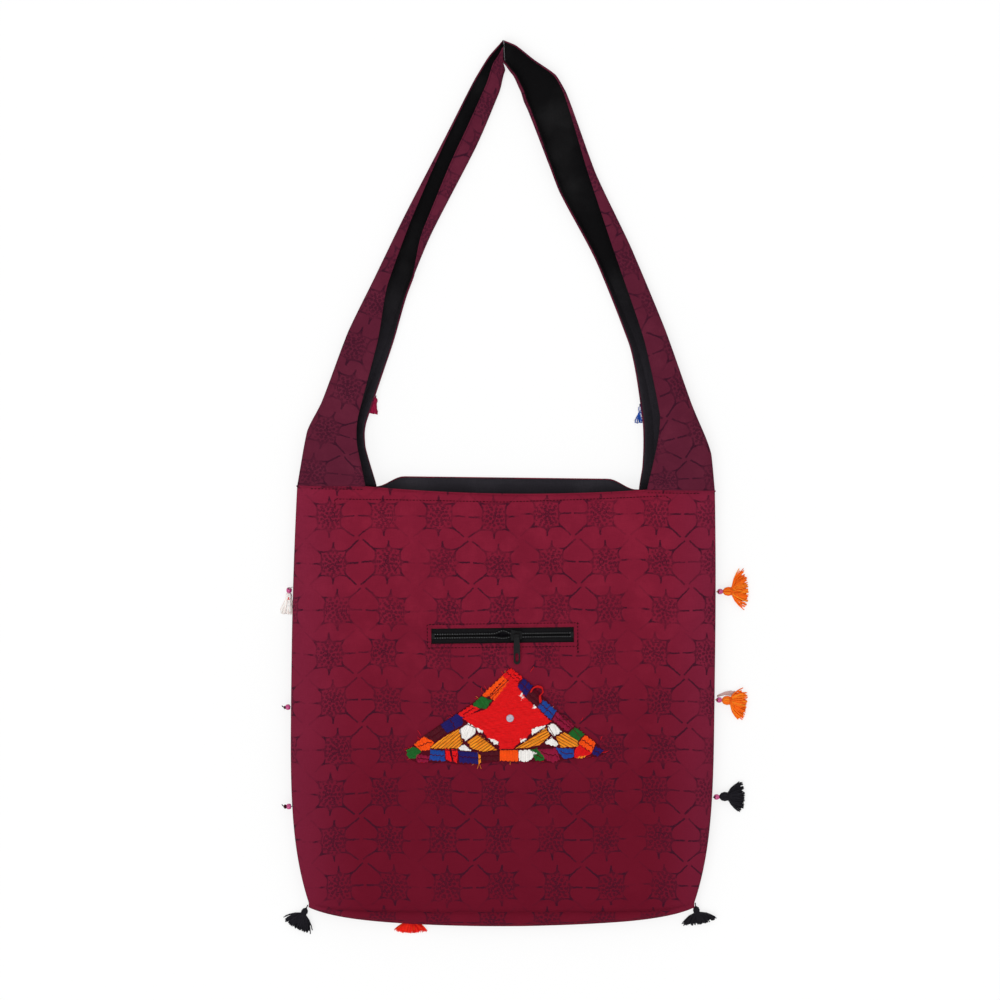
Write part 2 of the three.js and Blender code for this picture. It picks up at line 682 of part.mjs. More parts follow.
// A body with elliptical rings along +X: each ring has its place and its two half axes.
function ringedBody(rings) {
  const sides = 12;
  const positions = [];
  for (const { x, y = 0, z, wide, tall } of rings) {
    for (let k = 0; k < sides; k++) {
      const turn = (k / sides) * 2 * Math.PI;
      positions.push(x, y + wide * Math.cos(turn), z + tall * Math.sin(turn));
    }
  }
  const faces = [];
  for (let ring = 0; ring < rings.length - 1; ring++) {
    for (let k = 0; k < sides; k++) {
      const [a, b] = [ring * sides + k, ring * sides + ((k + 1) % sides)];
      faces.push(a, a + sides, b, b, a + sides, b + sides);
    }
  }
  const last = (rings.length - 1) * sides;
  for (let k = 1; k < sides - 1; k++) faces.push(0, k, k + 1, last, last + k + 1, last + k);
  return facingOut(positions, faces);
}

// A tassel: a cord from the seam, a bound head and a skirt of threads that lies fanned out on the floor.
const beadRadius = 2.1;
const beadWidth = 3;
const cordRadius = 0.5;

function tasselGeometry({ rootHeight, rootAside = 0, headAt, headWide, length, skirtWide, skirtTall }) {
  const headTall = headWide * 0.8;
  const rest = headTall + clearance;
  const skirtRest = skirtTall + clearance;
  return ringedBody([
    { x: 0, y: rootAside, z: rootHeight, wide: cordRadius, tall: cordRadius },
    { x: 0.18 * (headAt - headWide), z: rootHeight, wide: cordRadius, tall: cordRadius },
    { x: headAt - headWide, z: mix(rootHeight, rest, 0.7), wide: cordRadius, tall: cordRadius },
    { x: headAt - headWide * 0.7, z: mix(rootHeight, rest, 0.9), wide: headWide * 0.7, tall: headTall * 0.7 },
    { x: headAt, z: rest, wide: headWide, tall: headTall },
    { x: headAt + headWide * 0.8, z: rest, wide: headWide * 0.72, tall: headTall * 0.72 },
    { x: mix(headAt, length, 0.5), z: mix(rest, skirtRest, 0.6), wide: skirtWide * 0.55, tall: skirtTall * 1.1 },
    { x: length * 0.9, z: skirtRest, wide: skirtWide, tall: skirtTall },
    { x: length, z: skirtRest, wide: skirtWide * 0.88, tall: skirtTall * 0.7 },
  ]);
}

// A glass bead threaded on the cord, with its bore along +X.
function beadGeometry() {
  const bore = cordRadius + clearance;
  const profile = [
    [bore, -beadWidth / 2],
    [beadRadius * 0.72, -beadWidth / 2],
    [beadRadius, -beadWidth / 6],
    [beadRadius, beadWidth / 6],
    [beadRadius * 0.72, beadWidth / 2],
    [bore, beadWidth / 2],
    [bore, -beadWidth / 2],
  ];
  const points = profile.map(([r, y]) => new THREE.Vector2(r, y));
  return new THREE.LatheGeometry(points, 14).rotateZ(-Math.PI / 2);
}

// The tassels: where each is sewn on, the way it points in degrees from +X, and its sizes.
const sideTassel = { rootHeight: 7.6, headAt: 9.6, headWide: 3.9, length: 25, skirtWide: 11, skirtTall: 2.4 };
const smallTassel = { rootHeight: 3.6, headAt: 4.4, headWide: 2.4, length: 19, skirtWide: 4.2, skirtTall: 1.7 };
const tuftOutward = 2.6;
const tuftSkirt = { length: 23, skirtWide: 3.2, skirtTall: 1.6 };
const tuft = { rootHeight: 7, rootAside: tuftOutward, headAt: 7.6, headWide: 2.6, ...tuftSkirt };
const seamTassels = [
  { name: "tassel_right_upper", side: 1, y: 91.5, colour: "orange", points: 2, size: {} },
  { name: "tassel_right_middle", side: 1, y: -2.6, colour: "orange", points: -4, size: { skirtWide: 9.5 } },
  { name: "tassel_right_lower", side: 1, y: -87.5, colour: "black", points: 2, size: { skirtWide: 8.5 } },
  { name: "tassel_left_upper", side: -1, y: 95.7, colour: "cream", points: -94, size: tuft },
];

// The small tassels on the strap's inner edges: how far up the strap's drop each hangs, and how far off the edge.
const strapTassels = [
  { name: "tassel_strap_left", side: -1, share: 0.2074, away: 1.07, points: -104, colour: "magenta" },
  { name: "tassel_strap_right", side: 1, share: 0.1887, away: 0.82, points: -83, colour: "blue" },
];

// The tassels of the bottom: the two corners', by how far above the crease each starts, and one on the seam.
const cornerTassel = { ...sideTassel, headAt: 6.4, headWide: 3.2, length: 24, skirtWide: 10 };
const cornerTassels = [
  { name: "tassel_corner_left", side: -1, above: 3, points: -117 },
  { name: "tassel_corner_right", side: 1, above: 5, points: -80 },
];
const bottomTassel = { ...smallTassel, rootHeight: 2.3, headWide: 1.5, headAt: 4, length: 16, skirtWide: 12 };
const bottomTasselPlace = { x: -81.5, belowCrease: 5.2 };

// What is left of two more: a bead on a stub of thread, ended by a knot.
const stubs = [
  { name: "thread_left_middle", y: -8.7, points: -172, knotRadius: 1, length: 6 },
  { name: "thread_left_lower", y: -95.5, points: -178, knotRadius: 1.5, length: 7.4 },
];

function hangingAt(place, points) {
  const hanging = new THREE.Group();
  hanging.position.set(place.x, place.y, 0);
  hanging.rotation.z = radians(points);
  bag.add(hanging);
  return hanging;
}

// The side seam's x at a height, read along the panels' own rows, and a cord's slack outside it.
function sideSeamAt(side, y) {
  const seam = downSteps()
    .slice(0, bodyRows + 1)
    .map(({ down }) => {
      const x = side * halfWidthAt(down);
      return { x: centreAt(down) + x, y: mix(backMouthEdge(x), bottomCrease + creaseLift, down) };
    });
  const next = seam.findIndex((point) => point.y < y);
  const [above, below] = [seam[next - 1], seam[next]];
  return mix(above.x, below.x, (above.y - y) / (above.y - below.y)) + side * cordSlack;
}

function addStub({ name, y, points, knotRadius, length }) {
  const hanging = hangingAt({ x: sideSeamAt(-1, y) + cordSlack - clearance, y }, points);
  const height = sideTassel.rootHeight;
  const ring = (x, radius) => ({ x, z: height, wide: radius, tall: radius });
  const knotStart = length - 2 * knotRadius;
  const rings = [
    ring(0, cordRadius),
    ring(knotStart, cordRadius),
    ring(knotStart + knotRadius * 0.4, knotRadius * 0.8),
    ring(knotStart + knotRadius, knotRadius),
    ring(length, knotRadius * 0.5),
  ];
  addPiece(name, ringedBody(rings), threadColours.black, hanging);
  const bead = addPiece(`${name}_bead`, beadGeometry(), beadGlass, hanging);
  bead.position.set(knotStart - beadWidth / 2 - clearance / 2, 0, height);
}

function addTassel(name, place, points, size, colour, hasBead) {
  const hanging = hangingAt(place, points);
  addPiece(name, tasselGeometry(size), threadColours[colour], hanging);
  if (hasBead) {
    const headStart = size.headAt - size.headWide;
    const bead = addPiece(`${name}_bead`, beadGeometry(), beadGlass, hanging);
    const along = headStart * 0.5;
    const rest = size.headWide * 0.8 + clearance;
    const slope = (mix(size.rootHeight, rest, 0.7) - size.rootHeight) / headStart;
    bead.position.set(along, 0, size.rootHeight + slope * along);
    bead.rotation.y = -Math.atan(slope);
  }
}

function addTassels() {
  for (const { name, side, y, colour, points, size } of seamTassels) {
    const place = { x: sideSeamAt(side, y) + side * (size.rootAside ?? 0), y };
    addTassel(name, place, points, { ...sideTassel, ...size }, colour, true);
  }
  for (const stub of stubs) addStub(stub);
  for (const { name, side, above, points } of cornerTassels) {
    const place = { x: centreAt(1) + side * (halfWidthAt(1) + cordSlack), y: bottomCrease + above };
    addTassel(name, place, points, cornerTassel, "black", false);
  }
  const bottomPlace = { x: bottomTasselPlace.x, y: bottomCrease - bottomTasselPlace.belowCrease };
  addTassel("tassel_bottom", bottomPlace, -90, bottomTassel, "red", false);
  for (const { name, side, share, away, points, colour } of strapTassels) {
    const edge = strapEdgeAt(side, share);
    addTassel(name, { x: edge.x - side * away, y: edge.y }, points, smallTassel, colour, false);
  }
}

addPanels();
addStrap();
addTapes();
addCoils();
addStops();
addSlider();
addPull();
addPocket();
addPatch();
addTassels();

export default bag;
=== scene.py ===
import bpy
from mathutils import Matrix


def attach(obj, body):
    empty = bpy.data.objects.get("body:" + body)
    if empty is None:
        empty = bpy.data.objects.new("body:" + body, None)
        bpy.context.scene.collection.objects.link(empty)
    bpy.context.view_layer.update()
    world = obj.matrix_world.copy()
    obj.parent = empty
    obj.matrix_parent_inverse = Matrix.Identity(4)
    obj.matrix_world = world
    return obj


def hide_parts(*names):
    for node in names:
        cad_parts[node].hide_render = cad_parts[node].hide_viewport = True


bl_info = {
    "name": "Cloth Sling Bag",
    "version": (1, 0, 0),
    "blender": (4, 5, 0),
    "location": "View3D > Sidebar > Sling Bag",
    "description": "Builds a block-printed sling bag with a zip, a mirror-work patch and thread tassels",
    "category": "Add Mesh",
}

import math
from collections import namedtuple
from functools import partial, partialmethod

import bpy
import numpy as np
from bpy.props import FloatProperty, FloatVectorProperty, IntProperty, PointerProperty
from mathutils import Vector, noise

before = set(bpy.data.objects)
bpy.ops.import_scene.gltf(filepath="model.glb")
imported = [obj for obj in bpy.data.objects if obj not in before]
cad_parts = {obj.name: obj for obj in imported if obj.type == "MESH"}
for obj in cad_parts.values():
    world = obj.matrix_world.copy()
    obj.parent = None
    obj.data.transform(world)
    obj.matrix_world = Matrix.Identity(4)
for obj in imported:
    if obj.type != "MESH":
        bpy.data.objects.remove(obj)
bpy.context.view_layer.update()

# Lengths in the making of meshes are millimetres, and MM turns them into Blender's metres.
MM = 0.001

# Sizes of the body, the same as the part's
TOP_HALF, WIDEST_HALF, BOTTOM_HALF = 182, 184.5, 168
MOUTH, CREASE = 181.4, -184.4
STRIP_DEPTH, CORNER_DEPTH, FOLD_BACK = 15, 3.4, 6
LEAN, TILT, SAG, FRONT_LIP = 3.9, 4.4, 5, 9
SEAM_HEIGHT, BODY_TOP, MOUTH_TOP = 8, 20, 9
SIDE_ROUND, MOUTH_ROUND, UNDER_ROUND = 70, 50, 34
NEAR_ARM, FAR_ARM, LIP_RUN = 59, 68.7, 24
CLOTH, LINING, CLEARANCE = 1, 0.8, 0.3
LINING_DROP = CLOTH + CLEARANCE
LINING_SLUMP = 7.2

# Sizes of the strap, the same as the part's
STRAP_DROP, STRAP_SEAM_X, GATHER, STRAP_TOP = 391, -1.5, 18.7, 7
CURL_RADIUS = 3.4

# Place and sizes of the zip, the same as the part's
ZIP_X, ZIP_Y, ZIP_Z, ZIP_TILT = -2.1, 53.8, 28, 0.7
WINDOW_LENGTH, WINDOW_WIDTH, TAPE_MARGIN = 123.8, 13.2, 6
COIL_SPAN, COIL_HEIGHT, COIL_WIDTH = 117, 1.4, 2.3
SLIDER_X, COIL_GAP, TAPE_THICKNESS = 12.2, 0.2, 0.6
# Radius and grey of the coil's nylon and of the core inside it
NYLON_RADIUS, NYLON_GREY, CORE_RADIUS, CORE_GREY = 0.32, 0.0045, 0.34, 0.003
# Half sizes of the stitched rectangle round the zip, and of the flat ground of the zip and patch
ZIP_SEAM_X, ZIP_SEAM_Y, FLAT_X, FLAT_Y, FLAT_MIDDLE = 65.3, 10.2, 92, 66, 3
STITCH_LIFT = 0.12


class BagSizes(bpy.types.PropertyGroup):
    """Sizes of the stitching, threads and print"""

    stitch_pitch: FloatProperty(name="Stitch pitch", description="Distance from one stitch to the next",
                                default=0.0029, min=0.001, unit="LENGTH")
    stitch_radius: FloatProperty(name="Stitch thickness", description="Radius of the sewing thread",
                                 default=0.00034, min=0.0001, unit="LENGTH")
    coil_pitch: FloatProperty(name="Coil pitch", description="Distance between turns of the zip's coil",
                              default=0.0019, min=0.0008, unit="LENGTH")
    floss_pitch: FloatProperty(name="Floss pitch", description="Distance between the embroidery's threads",
                               default=0.00046, min=0.0002, unit="LENGTH")
    tassel_threads: IntProperty(name="Tassel threads", description="Threads in a tassel's skirt",
                                default=210, min=20)
    rumple: FloatProperty(name="Rumple", description="Depth of the soft dents in the body",
                          default=0.0011, min=0.0, unit="LENGTH")
    camera_height: FloatProperty(name="Camera height", description="Height of the camera over the floor",
                                 default=6.0, min=1.0, unit="LENGTH")


def colour_property(label, text, value):
    return FloatVectorProperty(name=label, description=text, subtype="COLOR", size=3,
                               default=value, min=0, max=1)


class BagColours(bpy.types.PropertyGroup):
    """Colours of the bag's cloths, threads and fittings"""

    maroon: colour_property("Maroon", "Printed cotton of the body", (0.222, 0.0112, 0.0335))
    strap_maroon: colour_property("Strap maroon", "Printed cotton of the strap", (0.116, 0.0138, 0.034))
    print_dark: colour_property("Print", "Block print on the cotton", (0.036, 0.0055, 0.0165))
    lining: colour_property("Lining", "Black cotton lining of the body", (0.026, 0.0232, 0.029))
    strap_black: colour_property("Strap lining", "Black cotton lining of the strap", (0.0042, 0.0039, 0.0044))
    zip_black: colour_property("Zip", "Zip tapes and coils", (0.006, 0.0056, 0.0063))
    metal: colour_property("Slider", "Black enamel of the slider and its pull", (0.004, 0.004, 0.0045))
    red: colour_property("Red floss", "Red thread", (0.8, 0.0062, 0.009))
    orange: colour_property("Orange floss", "Orange thread", (1.0, 0.088, 0.003))
    gold: colour_property("Gold floss", "Gold thread", (1.0, 0.30, 0.016))
    green: colour_property("Green floss", "Green thread", (0.012, 0.135, 0.02))
    navy: colour_property("Navy floss", "Navy thread", (0.016, 0.01, 0.14))
    tassel_orange: colour_property("Tassel orange", "Orange yarn of the side tassels", (1.0, 0.14, 0.006))
    tuft_cream: colour_property("Tuft cream", "Cream yarn of the left tassel", (0.98, 0.88, 0.84))
    tassel_gold: colour_property("Tassel gold", "Sun-faded tips of the orange tassels", (1.0, 0.32, 0.02))
    royal: colour_property("Royal floss", "Royal blue thread", (0.012, 0.065, 0.34))
    magenta: colour_property("Magenta floss", "Magenta-maroon thread", (0.29, 0.006, 0.042))
    wine: colour_property("Wine floss", "Dark maroon thread", (0.085, 0.004, 0.012))
    white: colour_property("White floss", "White thread", (0.88, 0.85, 0.82))
    black: colour_property("Black floss", "Black thread", (0.011, 0.010, 0.014))


# Nodes

def feed(tree, socket, value):
    """Gives a socket a link, a colour or a plain value."""
    if isinstance(value, Field):
        value = value.socket
    if isinstance(value, bpy.types.NodeSocket):
        tree.links.new(value, socket)
    else:
        socket.default_value = (*value, 1) if socket.type == "RGBA" else value


def place_node(tree, kind, values=(), **settings):
    """Adds a node: its settings first, then the values or links of its sockets by name or in order."""
    made = tree.nodes.new(kind)
    for key, value in settings.items():
        setattr(made, key, value)
    for key, value in values.items() if isinstance(values, dict) else enumerate(values):
        feed(tree, made.inputs[key], value)
    return made


class Field:
    """A shader value: expressions on it add the Math nodes that work it out."""

    def __init__(self, paint, socket):
        self.paint = paint
        self.socket = socket

    def _with(self, operation, *others):
        made = self.paint.node("ShaderNodeMath", [self, *others], operation=operation)
        return Field(self.paint, made.outputs[0])

    __add__ = __radd__ = partialmethod(_with, "ADD")
    __sub__ = partialmethod(_with, "SUBTRACT")
    __mul__ = __rmul__ = partialmethod(_with, "MULTIPLY")
    __truediv__ = partialmethod(_with, "DIVIDE")
    __pow__ = partialmethod(_with, "POWER")
    __abs__ = partialmethod(_with, "ABSOLUTE")
    least = partialmethod(_with, "MINIMUM")
    most = partialmethod(_with, "MAXIMUM")
    smooth_most = partialmethod(_with, "SMOOTH_MAX")
    whole = partialmethod(_with, "FLOOR")
    nearest = partialmethod(_with, "ROUND")
    sine = partialmethod(_with, "SINE")
    angle_over = partialmethod(_with, "ARCTAN2")

    def __rsub__(self, other):
        return self * -1 + other

    def hypotenuse(self, other):
        return (self * self + other * other) ** 0.5

    def rise(self, low, high):
        """0 below low, 1 above high and a smooth step between them."""
        made = self.paint.node("ShaderNodeMapRange", {"Value": self, "From Min": low, "From Max": high},
                               interpolation_type="SMOOTHSTEP")
        return Field(self.paint, made.outputs[0])

    def line(self, half_width, soft):
        """1 on the field's zero line and 0 beyond half_width from it."""
        return 1 - ((abs(self) - half_width) / soft).rise(0, 1)


class Paint:
    """One material's node tree."""

    def __init__(self, name):
        self.material = bpy.data.materials.new(name)
        self.material.use_nodes = True
        self.tree = self.material.node_tree
        self.tree.nodes.clear()
        self.shader = self.node("ShaderNodeBsdfPrincipled")
        self.out = self.node("ShaderNodeOutputMaterial", {"Surface": self.shader.outputs[0]})

    def node(self, kind, values=(), **settings):
        return place_node(self.tree, kind, values, **settings)

    def fields(self, kind, source, count=3, unit=1):
        """The first parts of a vector or colour, each in a unit."""
        outputs = self.node(kind, [source]).outputs
        return [Field(self, outputs[k]) * unit for k in range(count)]

    def object_xyz(self):
        place = self.node("ShaderNodeTexCoord").outputs["Object"]
        return self.fields("ShaderNodeSeparateXYZ", place, unit=1 / MM)

    def cloth_uv(self):
        """Millimetres across and along the cloth, from the piece's own UV map."""
        place = self.node("ShaderNodeUVMap", uv_map="cloth").outputs[0]
        return self.fields("ShaderNodeSeparateXYZ", place, 2, 1 / MM)

    def dye(self):
        """The colour that a thread's points carry."""
        return self.node("ShaderNodeAttribute", attribute_name="dye").outputs["Color"]

    def at(self, place):
        return self.node("ShaderNodeCombineXYZ", place).outputs[0]

    def noise(self, place, scale=1.0, detail=2.0, roughness=0.5):
        values = {"Vector": self.at(place), "Scale": scale, "Detail": detail, "Roughness": roughness}
        return Field(self, self.node("ShaderNodeTexNoise", values, noise_dimensions="3D").outputs[0])

    def grain(self, scale, detail):
        """Noise through the object's own space."""
        return self.noise(self.object_xyz(), scale, detail)

    def chance(self, place):
        """Three values from 0 to 1 that change only from one whole place to the next."""
        made = self.node("ShaderNodeTexWhiteNoise", {"Vector": self.at(place)}, noise_dimensions="3D")
        return self.fields("ShaderNodeSeparateColor", made.outputs["Color"])

    def blend(self, share, first, second, how="MIX"):
        """A colour between two, each a colour or a socket."""
        made = self.node("ShaderNodeMix", [share], data_type="RGBA", blend_type=how)
        coloured = [socket for socket in made.inputs if socket.type == "RGBA"]
        for socket, value in zip(coloured, (first, second)):
            feed(self.tree, socket, value)
        return next(output for output in made.outputs if output.type == "RGBA")

    def finish(self, colour, roughness, bump=None, bump_depth=0.0002, **constants):
        """Fills the shader's sockets and gives the material."""
        values = {"Base Color": colour, "Roughness": roughness}
        values.update((key.replace("_", " "), value) for key, value in constants.items())
        if bump:
            raised = self.node("ShaderNodeBump", {"Strength": 1.0, "Distance": bump_depth, "Height": bump})
            values["Normal"] = raised.outputs[0]
        for key, value in values.items():
            feed(self.tree, self.shader.inputs[key], value)
        return self.material


def toned(colour, *shares):
    """A colour scaled by one share, or by a share for each of its parts."""
    if len(shares) == 1:
        shares = shares * 3
    return tuple(min(1, part * share) for part, share in zip(colour, shares))


# Materials

def woven(paint, u, v, pitch):
    """Height of a plain weave with slubs, from 0 to 1, and the slubs alone."""
    turn = 2 * math.pi / pitch
    weave = (u * turn).sine() * (v * turn).sine() * 0.5 + 0.5
    warp = paint.noise((u * 2.2, v * 0.12), detail=1)
    weft = paint.noise((u * 0.12, v * 2.2, 7), detail=1)
    slubs = (warp + weft) * 0.5
    return weave * 0.45 + slubs * 0.9, slubs


# The carved block prints two columns and three rows of rosettes at a time, and each stamp sits a little off
PRINT_ACROSS, PRINT_DOWN, BLOCK_DOWN = 47.4, 41.8, 120.2
ROSETTE_FIRST = (-153.3, 157.5)
ROW_SLIP, SLIP_ACROSS, SLIP_DOWN = 3.9, 3.5, 3
DRIFT, SHAKE = 7, 1.8
# Dots and radius of each ring of a rosette, radii of the arcs between them, and thickness of a drawn line
ROSETTE_RINGS = ((6, 3.6), (11, 7.1), (17, 10.6))
ROSETTE_ARCS = (2.0, 5.3, 8.9)
DOT_RING, DOT_RADIUS, ROSETTE_RADIUS = 1.05, (0.34, 0.72), (13.0, 13.6)


def ringed_dot(distance):
    """A tiny dot inside a ring."""
    return ((distance - DOT_RING).line(0.16, 0.34) * 0.75).most(1 - distance.rise(*DOT_RADIUS))


def block_print(paint, u, v):
    """How dark the print is: rosettes of ringed dots, and four round-cornered petals about each X."""
    def grain(layer, scale, detail=1, roughness=0.5):
        return paint.noise((u, v, layer), scale, detail, roughness)

    across = u - ROSETTE_FIRST[0] + (grain(0, 0.02) - 0.5) * DRIFT
    fall = ROSETTE_FIRST[1] - v + (grain(40, 0.02) - 0.5) * DRIFT
    block_u = ((across + PRINT_ACROSS / 2) / (2 * PRINT_ACROSS)).whole()
    block_v = ((fall + (BLOCK_DOWN - 2 * PRINT_DOWN) / 2) / BLOCK_DOWN).whole()
    slips = paint.chance((block_u, block_v, 3))
    local_v = fall - block_v * BLOCK_DOWN + (slips[1] - 0.5) * SLIP_DOWN
    row = (local_v / PRINT_DOWN).nearest().most(0).least(2)
    local_u = across - block_u * (2 * PRINT_ACROSS) + (slips[0] - 0.5) * SLIP_ACROSS - row * ROW_SLIP
    column = (local_u / PRINT_ACROSS).nearest().most(0).least(1)
    x = local_u - column * PRINT_ACROSS + (grain(90, 0.22, 3, 0.6) - 0.5) * SHAKE
    y = local_v - row * PRINT_DOWN + (grain(120, 0.22, 3, 0.6) - 0.5) * SHAKE
    beside, above, radius = abs(x), abs(y), x.hypotenuse(y)
    # Petals: straight along the diagonals, beside the rosettes and along the line between two of them
    half_x, half_y = PRINT_ACROSS / 2, PRINT_DOWN / 2
    diagonal = (above * half_x - beside * half_y) / math.hypot(half_x, half_y)
    level_petal = diagonal.smooth_most(10.3 - beside, 3.0).smooth_most(above * -1, 5.5)
    upright_petal = (diagonal * -1).smooth_most(10.9 - above, 3.0).smooth_most(beside * -1, 8.0)
    width = grain(150, 0.3) * 0.6 + 0.2
    strokes = level_petal.line(width, 0.45).most(upright_petal.line(width, 0.45))
    # The strokes stop short of the petals' meeting points and thin out near the rosettes
    meetings = ((half_x, half_y, 2.0, 3.0), (half_x, 0, 1.0, 1.8), (0, half_y, 1.6, 2.4))
    for place_x, place_y, low, high in meetings:
        strokes = strokes * (place_x - beside).hypotenuse(place_y - above).rise(low, high)
    skipped = grain(170, 0.2).rise(0.4, 0.5)
    strokes = strokes * (1 - (1 - radius.rise(11.5, 15.5)) * (0.9 - skipped * 0.5))
    # Between two stamps only the strokes beside the rosettes are printed
    inside = 1
    for local, reach in ((local_u, PRINT_ACROSS), (local_v, 2 * PRINT_DOWN)):
        inside = local.rise(-2, 0) * (1 - local.rise(reach, reach + 2)) * inside
    strokes = strokes * (1 - (1 - inside) * radius.rise(16, 20) * 0.8)
    # Rosettes: a ringed dot and three rings of them, the outermost broken, with short arcs between
    angle = y.angle_over(x)
    dots = ringed_dot(radius)
    for count, ring in ROSETTE_RINGS:
        turn = angle * (count / (2 * math.pi)) + row * 0.37 + column * 0.21
        aside = (turn - turn.nearest()) * (2 * math.pi * ring / count)
        away = (radius - ring).hypotenuse(aside)
        shown = grain(200, 0.16).rise(0.4, 0.5) if ring == ROSETTE_RINGS[-1][1] else 1
        dots = dots.most(ringed_dot(away) * shown).most(1 - away.rise(*DOT_RADIUS))
    broken = grain(11, 0.4).rise(0.46, 0.56)
    for ring in ROSETTE_ARCS:
        dots = dots.most((radius - ring).line(0.2, 0.4) * broken)
    rosette = dots * (1 - radius.rise(*ROSETTE_RADIUS)) * (1 - radius.rise(5, 11) * 0.2)
    # Fading: whole strokes come out faint where the block was short of dye
    worn = grain(60, 0.03, 3, 0.65).rise(0.36, 0.55)
    speckle = grain(30, 0.9, 2).rise(0.3, 0.55)
    return (strokes * (worn * 0.5 + 0.5)).most(rosette * (worn * 0.2 + 0.85)) * (speckle * 0.4 + 0.6)


def printed_cotton(name, ground, ink, strength=0.95, painted_shade_and_sheen=True):
    """Cloudy maroon cotton under the block print; where asked, a painted shade darkens the bottom and a
    painted sheen makes the sides paler.
    """
    paint = Paint(name)
    u, v = paint.cloth_uv()
    height, slubs = woven(paint, u, v, 0.55)
    broad = paint.noise((u, v, 5), 0.011, 3, 0.6)
    cloudy = paint.noise((u, v, 15), 0.05, 3, 0.6)
    darker = toned(ground, 0.68, 0.62, 0.66)
    colour = paint.blend(broad.rise(0.3, 0.7) * 0.45, ground, darker)
    colour = paint.blend(cloudy.rise(0.42, 0.72) * 0.6, colour, toned(ground, 1.2, 1.35, 1.2))
    if painted_shade_and_sheen:
        # Painted shade: the cloth is darker towards the bottom, as if lit from above.
        low = (1 - v.rise(-200, 170)).least(0.84)
        colour = paint.blend(low * 0.9, colour, toned(ground, 0.5, 0.26, 0.38))
        # Painted sheen: the sides are paler and bluer, as where the cloth turns away from the light.
        colour = paint.blend(abs(u).rise(120, 195) * 0.6, colour, toned(ground, 0.92, 1.6, 1.5))
    colour = paint.blend(slubs.rise(0.35, 0.7) * 0.3, colour, darker)
    if strength:
        colour = paint.blend(block_print(paint, u, v) * strength, colour, ink)
    return paint.finish(colour, 0.92, height, 0.00022, Specular_IOR_Level=0.06)


def black_cotton(name, ground, foot=None):
    """Black lining cotton, greyer at the strap's foot where a foot colour is given."""
    paint = Paint(name)
    u, v = paint.cloth_uv()
    height, slubs = woven(paint, u, v, 0.5)
    broad = paint.noise((u, v, 5), 0.02, 3)
    colour = paint.blend(broad.rise(0.45, 0.75) * 0.7, ground, tuple(part * 1.5 + 0.01 for part in ground))
    if foot:
        colour = paint.blend((1 - v.rise(MOUTH + 90, MOUTH + 230)) * (broad * 0.5 + 0.75), colour, foot)
    colour = paint.blend(slubs.rise(0.4, 0.7) * 0.4, colour, toned(ground, 0.6))
    return paint.finish(colour, 0.9, height, Specular_IOR_Level=0.06)


def floss(name, roughness=0.55):
    """Dyed thread, its colour taken from the thread's own attribute."""
    paint = Paint(name)
    colour = paint.blend(paint.grain(0.9, 2).rise(0.35, 0.7) * 0.22, paint.dye(), (0.45,) * 3, "MULTIPLY")
    return paint.finish(colour, roughness, paint.grain(4.0, 1), 0.0001, Specular_IOR_Level=0.12)


def sewing_thread():
    """Dark thread of the hems and seams."""
    paint = Paint("sewing_thread")
    fibre = paint.grain(2.5, 2)
    dark = paint.blend(fibre, (0.012, 0.002, 0.005), (0.03, 0.005, 0.011))
    return paint.finish(dark, 0.8, fibre, 0.00005, Specular_IOR_Level=0.05)


def zip_weave(name, ground):
    """Ribbed twill of the zip's tape."""
    paint = Paint(name)
    x, y, _ = paint.object_xyz()
    rib = (y * (2 * math.pi / 0.9)).sine() * 0.5 + 0.5
    twill = ((x + y * 0.6) * (2 * math.pi / 0.7)).sine() * 0.5 + 0.5
    lint = paint.grain(0.6, 3).rise(0.5, 0.8)
    colour = paint.blend(rib * 0.35 + twill * 0.25, ground, toned(ground, 2.6))
    colour = paint.blend(lint * 0.3, colour, toned(ground, 4))
    return paint.finish(colour, 0.85, rib * 0.6 + twill * 0.4, 0.00025, Specular_IOR_Level=0.06)


def nylon(name):
    """Nylon of the coils, its grey taken from each thread's own attribute."""
    paint = Paint(name)
    dust = paint.grain(0.8, 3)
    colour = paint.blend(dust.rise(0.4, 0.8) * 0.4, paint.dye(), (0.3,) * 3, "MULTIPLY")
    return paint.finish(colour, dust * 0.25 + 0.3, dust, 0.00005, Specular_IOR_Level=0.25)


def black_enamel(name, ground):
    """Black enamel on die-cast metal, with fine scratches."""
    paint = Paint(name)
    x, y, z = paint.object_xyz()
    dents = paint.noise((x, y, z), 0.35, 4)
    scratch = paint.noise((x * 0.3, y * 3, z), 1.4, 2).rise(0.62, 0.72)
    colour = paint.blend(scratch * 0.35, ground, toned(ground, 9))
    rough = dents * 0.22 + 0.24 + scratch * 0.2
    return paint.finish(colour, rough, dents, 0.00008, Specular_IOR_Level=0.13)


def mirror_disc(name):
    paint = Paint(name)
    cloud = paint.grain(0.5, 3)
    colour = paint.blend(cloud.rise(0.35, 0.7), (0.50, 0.42, 0.50), (0.36, 0.30, 0.37))
    return paint.finish(colour, cloud * 0.2 + 0.25, Metallic=0.55)


def bead_glass(name, ground):
    paint = Paint(name)
    colour = paint.blend(paint.grain(0.9, 2).rise(0.4, 0.65) * 0.6, ground, toned(ground, 0.45))
    return paint.finish(colour, 0.08, Coat_Weight=0.6, Specular_IOR_Level=0.7)


# Meshes

def ease(value, low, high):
    """0 below low, 1 above high and a smooth step between them, on numbers or arrays."""
    share = np.clip((np.asarray(value, float) - low) / (high - low), 0, 1)
    return share * share * (3 - 2 * share)


def mix(first, second, share):
    return first + (second - first) * share


def turned(points, place, way, lift=0):
    """Points turned by way degrees about +Z and moved to a place."""
    turn = math.radians(way)
    x, y, z = np.asarray(points, float).T
    return np.stack([place[0] + x * math.cos(turn) - y * math.sin(turn),
                     place[1] + x * math.sin(turn) + y * math.cos(turn), z + lift], axis=1)


